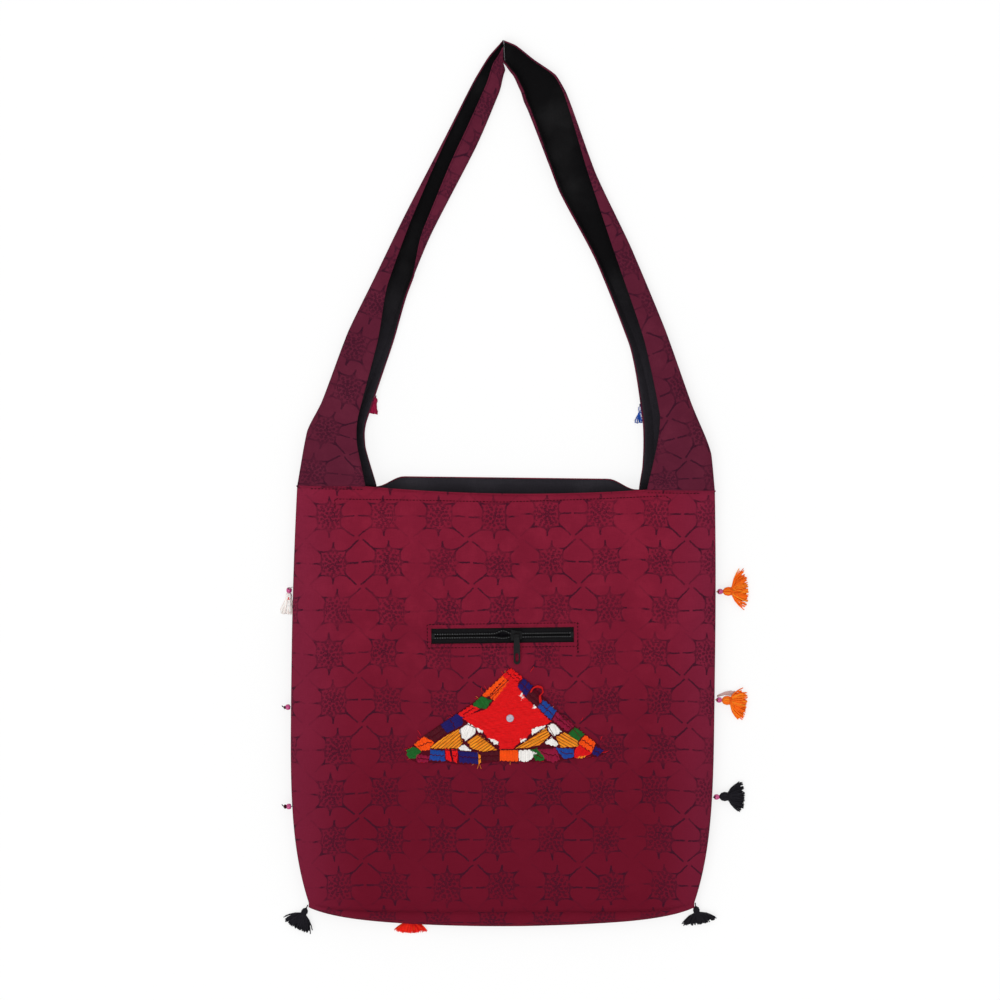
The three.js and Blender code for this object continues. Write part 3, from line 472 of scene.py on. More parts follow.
def walked(corners, step):
    """Points along a run of corners, about a step apart."""
    run = []
    for first, second in zip(corners[:-1], corners[1:]):
        count = max(1, int(math.dist(first, second) / step))
        run += [tuple(mix(np.array(first), np.array(second), k / count)) for k in range(count)]
    return [*run, corners[-1]]


def outwards(points, faces):
    """The faces, each turned over where the mesh is inside out."""
    fans = np.array([(face[0], face[k], face[k + 1]) for face in faces for k in range(1, len(face) - 1)])
    first, second, third = (np.asarray(points)[fans[:, k]] for k in range(3))
    inside_out = (first * np.cross(second, third)).sum() < 0
    return [face[::-1] for face in faces] if inside_out else faces


def linked(name, data):
    """A new object in the scene."""
    made = bpy.data.objects.new(name, data)
    bpy.context.scene.collection.objects.link(made)
    return made


def lay_uv(mesh, places):
    """Gives a mesh its cloth UV map, from a place for each vertex."""
    corners = np.empty(len(mesh.loops), int)
    mesh.loops.foreach_get("vertex_index", corners)
    mesh.uv_layers.new(name="cloth").data.foreach_set("uv", places[corners].ravel())


def mesh_object(name, points, faces, material, uv=None):
    """A smooth-shaded object from points in millimetres and a list of faces."""
    mesh = bpy.data.meshes.new(name)
    mesh.from_pydata((np.asarray(points) * MM).tolist(), [], faces)
    if uv is not None:
        lay_uv(mesh, np.asarray(uv) * MM)
    mesh.polygons.foreach_set("use_smooth", [True] * len(mesh.polygons))
    mesh.materials.append(material)
    mesh.validate()
    return linked(name, mesh)


def applied(made):
    """Applies an object's modifiers and leaves it as a plain mesh."""
    bpy.context.view_layer.update()
    graph = bpy.context.evaluated_depsgraph_get()
    mesh = bpy.data.meshes.new_from_object(made.evaluated_get(graph))
    made.modifiers.clear()
    made.data = mesh
    return made


def grid_normals(grid):
    normal = np.cross(np.gradient(grid, axis=0), np.gradient(grid, axis=1))
    return normal / np.maximum(np.linalg.norm(normal, axis=2, keepdims=True), 1e-9)


def run_along(grid, axis):
    """Distances walked on a grid along one of its ways."""
    steps = np.linalg.norm(np.diff(grid, axis=axis), axis=2)
    return np.insert(np.cumsum(steps, axis=axis), 0, 0, axis=axis)


def grid_uv(grid):
    """Distances across and down a grid, measured on its surface from the column nearest the middle."""
    across = run_along(grid, 1)
    middle = np.argmin(abs(grid[len(grid) // 2, :, 0]))
    across = across - across[:, middle:middle + 1] + grid[:, middle:middle + 1, 0]
    return np.stack([across, grid[0:1, :, 1] - run_along(grid, 0)], axis=2)


def closed_sheet(outside, inside, uv):
    """Points, faces and UVs of a sheet between two grids, with a rim round it and its faces outwards."""
    rows, columns = outside.shape[:2]
    points = np.concatenate([outside.reshape(-1, 3), inside.reshape(-1, 3)])
    index = np.arange(rows * columns).reshape(rows, columns)
    a, b, c, d = index[:-1, :-1], index[:-1, 1:], index[1:, 1:], index[1:, :-1]
    outer = np.stack([a, b, c, d], axis=-1).reshape(-1, 4)
    inner = np.stack([a, d, c, b], axis=-1).reshape(-1, 4) + rows * columns
    edge = np.concatenate([index[0, :], index[1:, -1], index[-1, -2::-1], index[-2:0:-1, 0]])
    after = np.roll(edge, -1)
    rim = np.stack([after, edge, edge + rows * columns, after + rows * columns], axis=-1)
    faces = outwards(points, np.concatenate([outer, inner, rim]).tolist())
    return points, faces, np.tile(uv.reshape(-1, 2), (2, 1))


def joined(parts):
    """One set of points, faces and UVs from several."""
    faces, start = [], 0
    for points, part_faces, _ in parts:
        faces += [tuple(corner + start for corner in face) for face in part_faces]
        start += len(points)
    return np.concatenate([part[0] for part in parts]), faces, np.concatenate([part[2] for part in parts])


def edge_roll(path, uv, radius, sides=8):
    """A rolled edge of cloth along a path, with the path's own UVs."""
    ahead = np.gradient(path, axis=0)
    ahead /= np.linalg.norm(ahead, axis=1, keepdims=True)
    side = np.cross(ahead, (0, 0, 1))
    side /= np.linalg.norm(side, axis=1, keepdims=True)
    over = np.cross(side, ahead)
    turn = (np.arange(sides) / sides * 2 * math.pi)[None, :, None]
    ring = side[:, None] * np.cos(turn) + over[:, None] * np.sin(turn)
    points = (path[:, None] + ring * radius).reshape(-1, 3)
    faces = []
    for start in range(0, len(points) - sides, sides):
        for s in range(sides):
            t = (s + 1) % sides
            faces.append((start + s, start + t, start + sides + t, start + sides + s))
    faces += [tuple(range(sides))[::-1], tuple(range(len(points) - sides, len(points)))]
    return points, outwards(points, faces), np.repeat(uv, sides, axis=0)


# Geometry Nodes

def new_tree(name, **inputs):
    """A tree with its geometry going in and out, further inputs with their values, and a material's input."""
    tree = bpy.data.node_groups.new(name, "GeometryNodeTree")
    tree.interface.new_socket("Geometry", in_out="INPUT", socket_type="NodeSocketGeometry")
    for label, value in inputs.items():
        kind = "NodeSocketInt" if isinstance(value, int) else "NodeSocketFloat"
        tree.interface.new_socket(label, in_out="INPUT", socket_type=kind).default_value = value
    tree.interface.new_socket("Material", in_out="INPUT", socket_type="NodeSocketMaterial")
    tree.interface.new_socket("Geometry", in_out="OUTPUT", socket_type="NodeSocketGeometry")
    return tree, place_node(tree, "NodeGroupInput").outputs


def end_tree(tree, geometry, material):
    real = place_node(tree, "GeometryNodeRealizeInstances", [geometry])
    painted = place_node(tree, "GeometryNodeSetMaterial", {"Geometry": real.outputs[0], "Material": material})
    smooth = place_node(tree, "GeometryNodeSetShadeSmooth", {"Geometry": painted.outputs[0]})
    place_node(tree, "NodeGroupOutput", [smooth.outputs[0]])
    return tree


def threads_tree():
    """Turns chains of edges into round threads, each as thick as its points say."""
    tree, given = new_tree("Threads", Sides=5)
    node = partial(place_node, tree)
    curves = node("GeometryNodeMeshToCurve", [given["Geometry"]])
    radius = node("GeometryNodeInputNamedAttribute", {"Name": "thread_radius"}, data_type="FLOAT")
    thick = node("GeometryNodeSetCurveRadius", {"Curve": curves.outputs[0], "Radius": radius.outputs[0]})
    ring = node("GeometryNodeCurvePrimitiveCircle", {"Resolution": given["Sides"], "Radius": 1.0},
                mode="RADIUS")
    body = node("GeometryNodeCurveToMesh", {
        "Curve": thick.outputs[0], "Profile Curve": ring.outputs[0], "Fill Caps": True,
        "Scale": node("GeometryNodeInputRadius").outputs[0],
    })
    return end_tree(tree, body.outputs[0], given["Material"])


def stitches_tree():
    """Lays short stitches end to end along chains of edges."""
    tree, given = new_tree("Stitches", Pitch=0.003, Radius=0.00025, Fill=0.41, Seed=3)
    node = partial(place_node, tree)
    curves = node("GeometryNodeMeshToCurve", [given["Geometry"]])
    spaced = node("GeometryNodeResampleCurve", {"Curve": curves.outputs[0], "Length": given["Pitch"]},
                  mode="LENGTH")
    tangent = node("GeometryNodeInputTangent")
    ahead = node("FunctionNodeAlignRotationToVector", {"Vector": tangent.outputs[0]}, axis="X")
    ball = node("GeometryNodeMeshUVSphere", {"Segments": 6, "Rings": 5, "Radius": 1.0})
    long = node("ShaderNodeMath", [given["Pitch"], given["Fill"]], operation="MULTIPLY")
    size = node("ShaderNodeCombineXYZ", [long.outputs[0], given["Radius"], given["Radius"]])
    wobble = node("FunctionNodeRandomValue", {"Seed": given["Seed"]}, data_type="FLOAT")
    for socket, value in zip([socket for socket in wobble.inputs if socket.type == "VALUE"], (0.85, 1.15)):
        socket.default_value = value
    uneven = next(output for output in wobble.outputs if output.type == "VALUE" and output.enabled)
    scale = node("ShaderNodeVectorMath", {0: size.outputs[0], "Scale": uneven}, operation="SCALE")
    laid = node("GeometryNodeInstanceOnPoints", {
        "Points": spaced.outputs[0], "Instance": ball.outputs[0], "Rotation": ahead.outputs[0],
        "Scale": scale.outputs[0],
    })
    return end_tree(tree, laid.outputs[0], given["Material"])


def chains(name, lines, radii=None, dyes=None):
    """An object of loose edges in millimetres: one chain a line, with its radius and dye at each point."""
    edges, start = [], 0
    for line in lines:
        edges += [(start + k, start + k + 1) for k in range(len(line) - 1)]
        start += len(line)
    mesh = bpy.data.meshes.new(name)
    mesh.from_pydata((np.concatenate(lines) * MM).tolist(), edges, [])
    if radii is not None:
        thick = np.concatenate([np.full(len(line), radius * MM) for radius, line in zip(radii, lines)])
        dyed = np.concatenate([np.tile((*dye, 1), len(line)) for dye, line in zip(dyes, lines)])
        for label, kind, key, values in (("thread_radius", "FLOAT", "value", thick),
                                         ("dye", "FLOAT_COLOR", "color", dyed)):
            mesh.attributes.new(label, kind, "POINT").data.foreach_set(key, values.astype(np.float32))
    return linked(name, mesh)


def grown(source, tree, **values):
    """Applies a node tree to an object and leaves it as a plain mesh."""
    modifier = source.modifiers.new("grow", "NODES")
    modifier.node_group = tree
    for item in tree.interface.items_tree:
        if item.item_type == "SOCKET" and item.in_out == "INPUT" and item.name in values:
            modifier[item.identifier] = values[item.name]
    return applied(source)


# The body's surfaces, as in the part

def half_width(down):
    narrowing = (WIDEST_HALF - TOP_HALF) * np.maximum(0, 1 - down / 0.4) ** 2
    tuck = (WIDEST_HALF - BOTTOM_HALF) * np.maximum(0, (down - 0.45) / 0.55) ** 4
    return WIDEST_HALF - narrowing - tuck


def centre_line(down):
    return 0.9 - LEAN * np.sin(np.minimum(down, 1) * math.pi / 2)


def strap_line(x):
    return MOUTH - TILT * x / (2 * TOP_HALF)


def back_mouth(x):
    return strap_line(x) - CLEARANCE / 2 - SAG * np.maximum(0, 1 - (x / (TOP_HALF - NEAR_ARM)) ** 2)


def front_mouth(x):
    reach = TOP_HALF - FAR_ARM - CLEARANCE
    return strap_line(x) - CLEARANCE / 2 + FRONT_LIP * ease(reach - abs(x), 0, LIP_RUN)


def fullness(down):
    return ease(down, 0, 0.24) * (1 - ease(down, 0.72, 1))


def body_surface(face, inset, slump=0, rows=110, bottom=12, rounds=14, level=90):
    """A surface of the body as a grid, inset from its outside: face 1 is the upper side, -1 the underside."""
    down = np.concatenate([np.linspace(0, 1, rows), np.ones(bottom)])
    turn = np.concatenate([np.full(rows, math.pi / 2), np.linspace(math.pi / 2, 0, bottom + 1)[1:]])
    down, turn = down[:, None], turn[:, None]
    half, full = half_width(down), fullness(down)
    round_ = mix(MOUTH_ROUND, SIDE_ROUND, full) if face > 0 else np.full_like(down, UNDER_ROUND)
    height = mix(MOUTH_TOP, BODY_TOP, full) if face > 0 else SEAM_HEIGHT
    square = 1 if face > 0 else 1.5
    to_seam = np.maximum(np.cos(turn), 0) ** square
    rise = np.sin(turn) ** square
    lowered = inset + slump * full
    angle = np.linspace(0, math.pi / 2, rounds)[None, :]
    edge = half - round_ + (round_ - inset) * np.cos(angle)
    share = np.linspace(0, 1, level)[None, 1:-1]
    x = np.concatenate([-edge, mix(-half + round_, half - round_, share), edge[:, ::-1]], axis=1)
    lift = np.sin(angle) * np.ones_like(down)
    swell = np.concatenate([lift, np.ones((len(down), level - 2)), lift[:, ::-1]], axis=1)
    beside = np.minimum(1, abs(x) / half)
    mouth = back_mouth(x) if face > 0 else front_mouth(x)
    crease = CREASE + 5 * beside ** 8
    back = (0 if face > 0 else FOLD_BACK) * (1 - beside ** 2)
    strip = CORNER_DEPTH + (STRIP_DEPTH - CORNER_DEPTH) * (1 - beside ** 2) ** 0.8
    y = mix(mouth, crease + back, down) - (strip + back - inset) * to_seam
    z = SEAM_HEIGHT + face * (CLEARANCE / 2 + (height - lowered - CLEARANCE / 2) * swell * rise)
    return np.stack([centre_line(down) + x, y, z * np.ones_like(x)], axis=2)


def rumpled(grid, depth):
    """Moves a grid along its normals into soft dents, and leaves the zip's and the patch's ground flat."""
    normal = grid_normals(grid)
    flat = grid.reshape(-1, 3)
    broad, fine = 3.1, 8.1
    dents = np.array([
        noise.noise(Vector((x / 62, y / 75, broad))) + 0.45 * noise.noise(Vector((x / 24, y / 31, fine)))
        for x, y, _ in flat
    ]).reshape(grid.shape[:2])
    x, y = grid[..., 0], grid[..., 1]
    inner = ease(MOUTH - y, 8, 80) * ease(y - CREASE, 20, 90) * ease(WIDEST_HALF - abs(x), 4, 60)
    outside = np.maximum(np.maximum(abs(x) - FLAT_X, 0), np.maximum(abs(y - FLAT_MIDDLE) - FLAT_Y, 0))
    amount = depth * (dents - 0.45) * (0.12 + 0.88 * inner) * ease(outside, 0, 30)
    return grid + normal * np.sign(normal[..., 2:3] + 1e-9) * amount[..., None]


def creased(grid, rows=110):
    """Sharpens the fold along the bottom: the cloth swells and hangs a little over the strip behind it."""
    reach, rise, hang = 2.6, 2.2, 2.6
    raised = grid.copy()
    beside = np.minimum(1, abs(grid[rows - 1, :, 0] + 3) / BOTTOM_HALF)
    above = grid[:rows, :, 1] - grid[rows - 1:rows, :, 1]
    share = (1 - beside ** 8) * np.exp(-(above / reach) ** 2)
    raised[:rows, :, 2] += rise * share
    raised[:rows, :, 1] -= hang * share
    return raised


def zip_to_bag(points):
    """Points in the zip's own frame placed in the bag's."""
    return turned(points, (ZIP_X, ZIP_Y), ZIP_TILT, ZIP_Z)


def cut_window(panel):
    """Cuts the zip's window out of the upper panel."""
    half_x, half_y, deep = WINDOW_LENGTH / 2, WINDOW_WIDTH / 2, 6
    corners = [(x * half_x, y * half_y, z)
               for z in (-deep, deep) for x, y in ((-1, -1), (1, -1), (1, 1), (-1, 1))]
    faces = [(3, 2, 1, 0), (4, 5, 6, 7), (0, 1, 5, 4), (1, 2, 6, 5), (2, 3, 7, 6), (3, 0, 4, 7)]
    cutter = mesh_object("window_cutter", zip_to_bag(corners), faces, panel.data.materials[0])
    modifier = panel.modifiers.new("window", "BOOLEAN")
    modifier.object, modifier.operation, modifier.solver = cutter, "DIFFERENCE", "EXACT"
    applied(panel)
    bpy.data.objects.remove(cutter)


def rounded_rectangle(half_x, half_y, z, corner=0.6):
    """Corner points of a closed rectangle with round corners, in the zip's frame."""
    points = []
    for k, (sx, sy) in enumerate(((1, 1), (-1, 1), (-1, -1), (1, -1))):
        for turn in np.linspace(0, math.pi / 2, 5) + k * math.pi / 2:
            points.append((sx * (half_x - corner) + corner * math.cos(turn),
                           sy * (half_y - corner) + corner * math.sin(turn), z))
    return [*points, points[0]]


# The strap's surfaces, as in the part: height, reach, lean, width, near, curl and lip at each station

LEFT_STRAP = [
    (0, 1, 0, FAR_ARM, NEAR_ARM, 4, 8),
    (0.123, 0.952, 15, 52, 44.5, 20, 9),
    (0.186, 0.884, 22, 42.2, 34, 32, 9),
    (0.346, 0.755, 22.5, 40, 27, 30, 5),
    (0.465, 0.63, 24, 31.5, 12.5, 60, 3),
    (0.602, 0.488, 27, 28, 6.5, 170, 5),
    (0.787, 0.283, 27, 28, 1.3, 172, 11),
    (0.914, 0.144, 31, 24.5, 0.9, 172, 10),
    (0.963, 0.079, 44, 19.5, 0.9, 172, 9.5),
]
RIGHT_STRAP = [
    (0, 1, 0, FAR_ARM - 3, NEAR_ARM, 4, 8),
    (0.082, 0.983, 12, 61, 52, 16, 9),
    (0.192, 0.89, 19.5, 44.8, 29, 32, 9),
    (0.354, 0.767, 21, 33.5, 20, 30, 5),
    (0.541, 0.6, 24, 32.3, 14.8, 60, 3),
    (0.704, 0.433, 24, 35.2, 6, 90, 3),
    (0.886, 0.29, 22, 37, 1.9, 120, 3),
    (0.9225, 0.243, 24, 34, 1.4, 120, 3),
    (0.957, 0.138, 36, 23, 1.1, 110, 3),
    (0.989, 0.05, 62, 19.5, 0.9, 100, 3),
]


def curve_value(values, t):
    """A centripetal Catmull-Rom curve through evenly numbered values, at t from 0 to 1."""
    points = [np.array([k, value], float) for k, value in enumerate(values)]
    place = (len(points) - 1) * t
    k = min(int(place), len(points) - 2)
    share = place - k
    before = points[k - 1] if k else 2 * points[0] - points[1]
    after = points[k + 2] if k + 2 < len(points) else 2 * points[-1] - points[-2]
    run = [before, points[k], points[k + 1], after]
    d0, d1, d2 = (np.linalg.norm(run[i + 1] - run[i]) ** 0.5 for i in range(3))
    v0, v1, v2, v3 = (p[1] for p in run)
    out = ((v1 - v0) / d0 - (v2 - v0) / (d0 + d1) + (v2 - v1) / d1) * d1
    into = ((v2 - v1) / d1 - (v3 - v1) / (d1 + d2) + (v3 - v2) / d2) * d1
    return v1 + out * share + (3 * (v2 - v1) - 2 * out - into) * share ** 2 \
        + (2 * (v1 - v2) + out + into) * share ** 3


def strap_stations(side, rows, count):
    foot_x = centre_line(0) + side * TOP_HALF
    foot_y = strap_line(side * TOP_HALF) + CLEARANCE / 2
    top = MOUTH + STRAP_DROP
    listed = [(foot_x * row[1], mix(foot_y, top, row[0]), row[0], *row[2:]) for row in rows]
    curl_and_lip = (172, 9) if side < 0 else (100, 3)
    listed.append((STRAP_SEAM_X + side * CLEARANCE / 2, top, 1, 90, GATHER, 0.9, *curl_and_lip))
    keys = list(zip(*listed))
    return [[curve_value(values, k / (count - 1)) for values in keys] for k in range(count)]


def band_section(station, depth):
    """The band's section as [distance from the outer fold, height], depth inside it."""
    _, _, share, _, width, near, curl, lip = station
    thin = float(ease(share, 0.02, 0.75))
    fold = mix(SEAM_HEIGHT, STRAP_TOP / 2, thin)
    rise = mix(MOUTH_TOP, STRAP_TOP / 2, thin)
    upper, lower = min(MOUTH_ROUND, 0.86 * near), min(UNDER_ROUND, 0.4 * width)
    reach = upper - depth if upper > depth + 0.1 else 0.1 * upper / (depth + 0.1)
    section = [(mix(upper, near, s), fold + rise - depth) for s in np.linspace(1, 0, 7)[:-1]]
    for turn in np.linspace(math.pi / 2, 0, 12):
        section.append((upper - reach * math.cos(turn), fold + (rise - depth) * math.sin(turn)))
    for turn in np.linspace(0, math.pi / 2, 8)[1:]:
        section.append((lower - (lower - depth) * math.cos(turn), fold - (fold - depth) * math.sin(turn)))
    bend = math.radians(curl)
    overhang = max(math.sin(min(bend, math.pi / 2)) * CURL_RADIUS, 0.1)
    straight = max(0, math.cos(bend)) * lip
    start = width - overhang - straight
    section += [(mix(lower, start, s), depth) for s in np.linspace(0, 1, 7)[1:-1]]
    radius = CURL_RADIUS - depth
    for turn in np.linspace(0, bend, 9):
        section.append((start + radius * math.sin(turn), CURL_RADIUS - radius * math.cos(turn)))
    last = section[-1]
    for reach in np.linspace(0, lip, 5)[1:]:
        section.append((last[0] + reach * math.cos(bend), last[1] + reach * math.sin(bend)))
    return np.array(section)


def strap_surface(side, rows, depth, count=150):
    grid = []
    for station in strap_stations(side, rows, count):
        foot_x, foot_y, share, degrees = station[:4]
        lean = math.radians(degrees)
        across_x, across_y = -side * math.cos(lean), -math.sin(lean)
        tilt = (1 - degrees / 90) * (-TILT / (2 * TOP_HALF)) * (share < 0.001)
        distance, height = band_section(station, depth).T
        grid.append(np.stack([foot_x + across_x * distance,
                              foot_y + across_y * distance + tilt * across_x * distance, height], axis=1))
    return np.array(grid)


def strap_uv(grid, fold=17):
    """Distance from the outer fold, at its own column, and along the strap."""
    across = run_along(grid, 1)
    across = across - across[:, fold:fold + 1] + grid[0, fold, 0]
    along = MOUTH + run_along(grid[:, fold:fold + 1], 0)
    return np.stack([across, np.broadcast_to(along, across.shape)], axis=2)


# Finished pieces

def settle(piece, body, *nodes, slot=None):
    """Makes a piece ride with its body and stand for its nodes."""
    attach(piece, body)
    if nodes:
        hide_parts(*nodes)
    return piece


def cloth_piece(node, name, grids, uv, material, slot, rolls=(), cut=False, **sheet):
    """A sheet of cloth between two grids, with its rolled edges."""
    points, faces, flat = joined([closed_sheet(*grids, uv), *rolls])
    piece = mesh_object(name, points, faces, material, flat)
    if cut:
        cut_window(piece)
    settle(piece, "bag", node, slot=slot)


def softened(node, width, material):
    """A copy of a node's mesh with its edges rounded, and flat UVs for its weave."""
    made = linked(f"{node}_soft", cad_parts[node].data.copy())
    made.data.materials.clear()
    made.data.materials.append(material)
    made.modifiers.new("weld", "WELD").merge_threshold = 1e-5
    bevel = made.modifiers.new("round", "BEVEL")
    bevel.width, bevel.segments, bevel.angle_limit = width * MM, 2, math.radians(40)
    mesh = applied(made).data
    places = np.empty(len(mesh.vertices) * 3)
    mesh.vertices.foreach_get("co", places)
    while mesh.uv_layers:
        mesh.uv_layers.remove(mesh.uv_layers[0])
    lay_uv(mesh, places.reshape(-1, 3)[:, :2])
    return made


class BAG_OT_body(bpy.types.Operator):
    """Make the body: the two printed panels, their linings and the rolled edges"""

    bl_idname = "bag.body"
    bl_label = "Body"

    def execute(self, context):
        sizes, colours = context.scene.bag_sizes, context.scene.bag_colours
        cotton = printed_cotton("maroon_print", colours.maroon, colours.print_dark)
        black = black_cotton("black_lining", colours.lining)
        upper = [creased(rumpled(body_surface(1, inset), sizes.rumple / MM)) for inset in (0, CLOTH)]
        lower = [body_surface(-1, inset) for inset in (0, CLOTH)]
        upper_uv, lower_uv = grid_uv(upper[0]), grid_uv(lower[0])
        cloth_piece("back_panel", "back_panel_cloth", upper, upper_uv, cotton, "maroon_cloth", cut=True,
                    flat=(0.382, 0.385), held="stretched", rests_on=["lining_back"])
        cloth_piece("front_panel", "front_panel_cloth", lower, lower_uv, cotton, "maroon_cloth",
                    flat=(0.374, 0.39), held="laid", rests_on=["floor"])
        for node, name, face, slump, flat, under in (
                ("lining_back", "back_lining_cloth", 1, LINING_SLUMP, (0.378, 0.38), "lining_front"),
                ("lining_front", "front_lining_cloth", -1, 0, (0.37, 0.385), "front_panel")):
            grids = [body_surface(face, inset, slump, rows=60, bottom=8, rounds=10, level=50)
                     for inset in (LINING_DROP, LINING_DROP + LINING)]
            cloth_piece(node, name, grids, grid_uv(grids[0]), black, "lining_cloth",
                        flat=flat, held="laid", rests_on=[under])
        rolls = [edge_roll(path - np.array([0, 0, sunk]), uv, radius) for path, uv, radius, sunk in (
            (upper[0][0], upper_uv[0], 0.75, 0.7), (upper[0][-1], upper_uv[-1], 0.6, 0.3),
            (lower[0][0], lower_uv[0], 0.8, -0.8))]
        points, faces, flat = joined(rolls)
        settle(mesh_object("rolled_edges", points, faces, cotton, flat), "bag", slot="maroon_cloth")
        return {"FINISHED"}


class BAG_OT_strap(bpy.types.Operator):
    """Make the strap: two folded bands with their linings, joined at the top by a seam"""

    bl_idname = "bag.strap"
    bl_label = "Strap"

    def execute(self, context):
        colours = context.scene.bag_colours
        cotton = printed_cotton("strap_print", colours.strap_maroon, colours.print_dark, 1.0, False)
        black = black_cotton("strap_black", colours.strap_black, colours.lining)
        for name, side, rows in (("strap_left", -1, LEFT_STRAP), ("strap_right", 1, RIGHT_STRAP)):
            outer, inner, top, low = (strap_surface(side, rows, depth)
                                      for depth in (0, CLOTH, LINING_DROP, LINING_DROP + LINING))
            uv = strap_uv(outer)
            rolls = [edge_roll(outer[:, column] - np.array([0, 0, sunk]), uv[:, column], 0.55)
                     for column, sunk in ((0, 0.5), (-1, 0))]
            cloth_piece(name, f"{name}_cloth", (outer, inner), uv, cotton, "maroon_cloth", rolls,
                        flat=(0.14, 0.42), area=0.0285, held="folded", rests_on=["floor"])
            cloth_piece(f"{name}_lining", f"{name}_lining_cloth", (top, low), strap_uv(top),
                        black, "lining_cloth",
                        flat=(0.135, 0.42), area=0.027, held="folded", rests_on=[name])
        return {"FINISHED"}


def lens(x):
    """How far the coils stand apart just left of the slider."""
    widest, before, spread = 2.6, 6.5, 4.6
    near = x - (SLIDER_X - 5.5)
    return np.where(near < 0, widest * np.exp(-((near + before) / spread) ** 2), 0)


class BAG_OT_zip(bpy.types.Operator):
    """Make the zip's tapes, coils and pocket, and finish its slider, pull and stops"""

    bl_idname = "bag.zip"
    bl_label = "Zip"

    def execute(self, context):
        sizes, colours = context.scene.bag_sizes, context.scene.bag_colours
        self.tapes(zip_weave("zip_tape", colours.zip_black))
        self.coils(sizes.coil_pitch / MM)
        enamel = black_enamel("zip_enamel", colours.metal)
        for node, body, width in (("zip_slider", "zip_slider", 0.22), ("zip_pull", "zip_pull", 0.2),
                                  ("zip_stop_left", "bag", 0.3), ("zip_stop_right", "bag", 0.3)):
            settle(softened(node, width, enamel), body, node, slot="zip_metal")
        pouch = softened("pocket_pouch", 0.35, black_cotton("pocket_black", colours.lining))
        settle(pouch, "bag", "pocket_pouch", slot="pocket_cloth")
        return {"FINISHED"}

    def tapes(self, weave):
        """The two woven tapes, bowed down a little beside the slider."""
        reach_x, reach_y = WINDOW_LENGTH / 2 + TAPE_MARGIN, WINDOW_WIDTH / 2 + TAPE_MARGIN
        along = np.linspace(-reach_x, reach_x, 160)
        for name, side, opened in (("upper", 1, 0.9), ("lower", -1, 0.35)):
            rows = []
            for share in np.linspace(0, 1, 14):
                y = side * mix(COIL_GAP + lens(along) * opened, reach_y, share)
                bow = 0.5 * math.sin(share * math.pi) * np.exp(-((along - SLIDER_X + 10) / 16) ** 2)
                rows.append(zip_to_bag(np.stack([along, y, -1.3 - bow], axis=1)))
            top = np.array(rows)
            low = top - np.array([0, 0, TAPE_THICKNESS])
            cloth_piece(f"zip_tape_{name}", f"zip_tape_{name}_weave", (top, low), top[..., :2],
                        weave, "zip_fabric", flat=(2 * reach_x * MM, reach_y * MM), held="stretched",
                        rests_on=["pocket_pouch"])

    def coils(self, pitch):
        """The two coils turn by turn, each round its core and sewn down."""
        coil, sewing = nylon("zip_coil"), black_cotton("zip_sewing", (0.17, 0.17, 0.18))
        threads, stitches = threads_tree(), stitches_tree()
        turns = int(COIL_SPAN / pitch)
        t = np.linspace(0, turns, turns * 10 + 1)
        for name, side, opened, ahead in (("upper", 1, 1.0, 0), ("lower", -1, 0.4, math.pi)):
            phase = t * 2 * math.pi + ahead
            x = -COIL_SPAN / 2 + t * pitch
            y = side * (COIL_GAP + COIL_WIDTH / 2 + lens(x) * opened) + (COIL_WIDTH / 2 - 0.3) * np.cos(phase)
            z = -1.0 + COIL_HEIGHT / 2 + (COIL_HEIGHT / 2 - 0.3) * np.sin(phase)
            x_core = np.linspace(-COIL_SPAN / 2, COIL_SPAN / 2, 150)
            y_core = side * (COIL_GAP + COIL_WIDTH / 2 + lens(x_core) * opened)
            core = zip_to_bag(np.stack([x_core, y_core, np.full_like(x_core, -0.35)], axis=1))
            made = chains(f"zip_coil_{name}_turns", [zip_to_bag(np.stack([x, y, z], axis=1)), core],
                          [NYLON_RADIUS, CORE_RADIUS], [(NYLON_GREY,) * 3, (CORE_GREY,) * 3])
            settle(grown(made, threads, Material=coil, Sides=6), "bag", f"zip_coil_{name}", slot="zip_nylon")
            sewn = chains(f"zip_coil_{name}_stitches", [core + np.array([0, side * 0.25, 0.75])])
            grown(sewn, stitches, Pitch=pitch * MM * 1.12, Radius=0.00045, Fill=0.16, Material=sewing)
            settle(sewn, "bag", slot="zip_nylon")


# The patch's stitched shapes: dye, the way its threads run in degrees from +X, and outline in millimetres

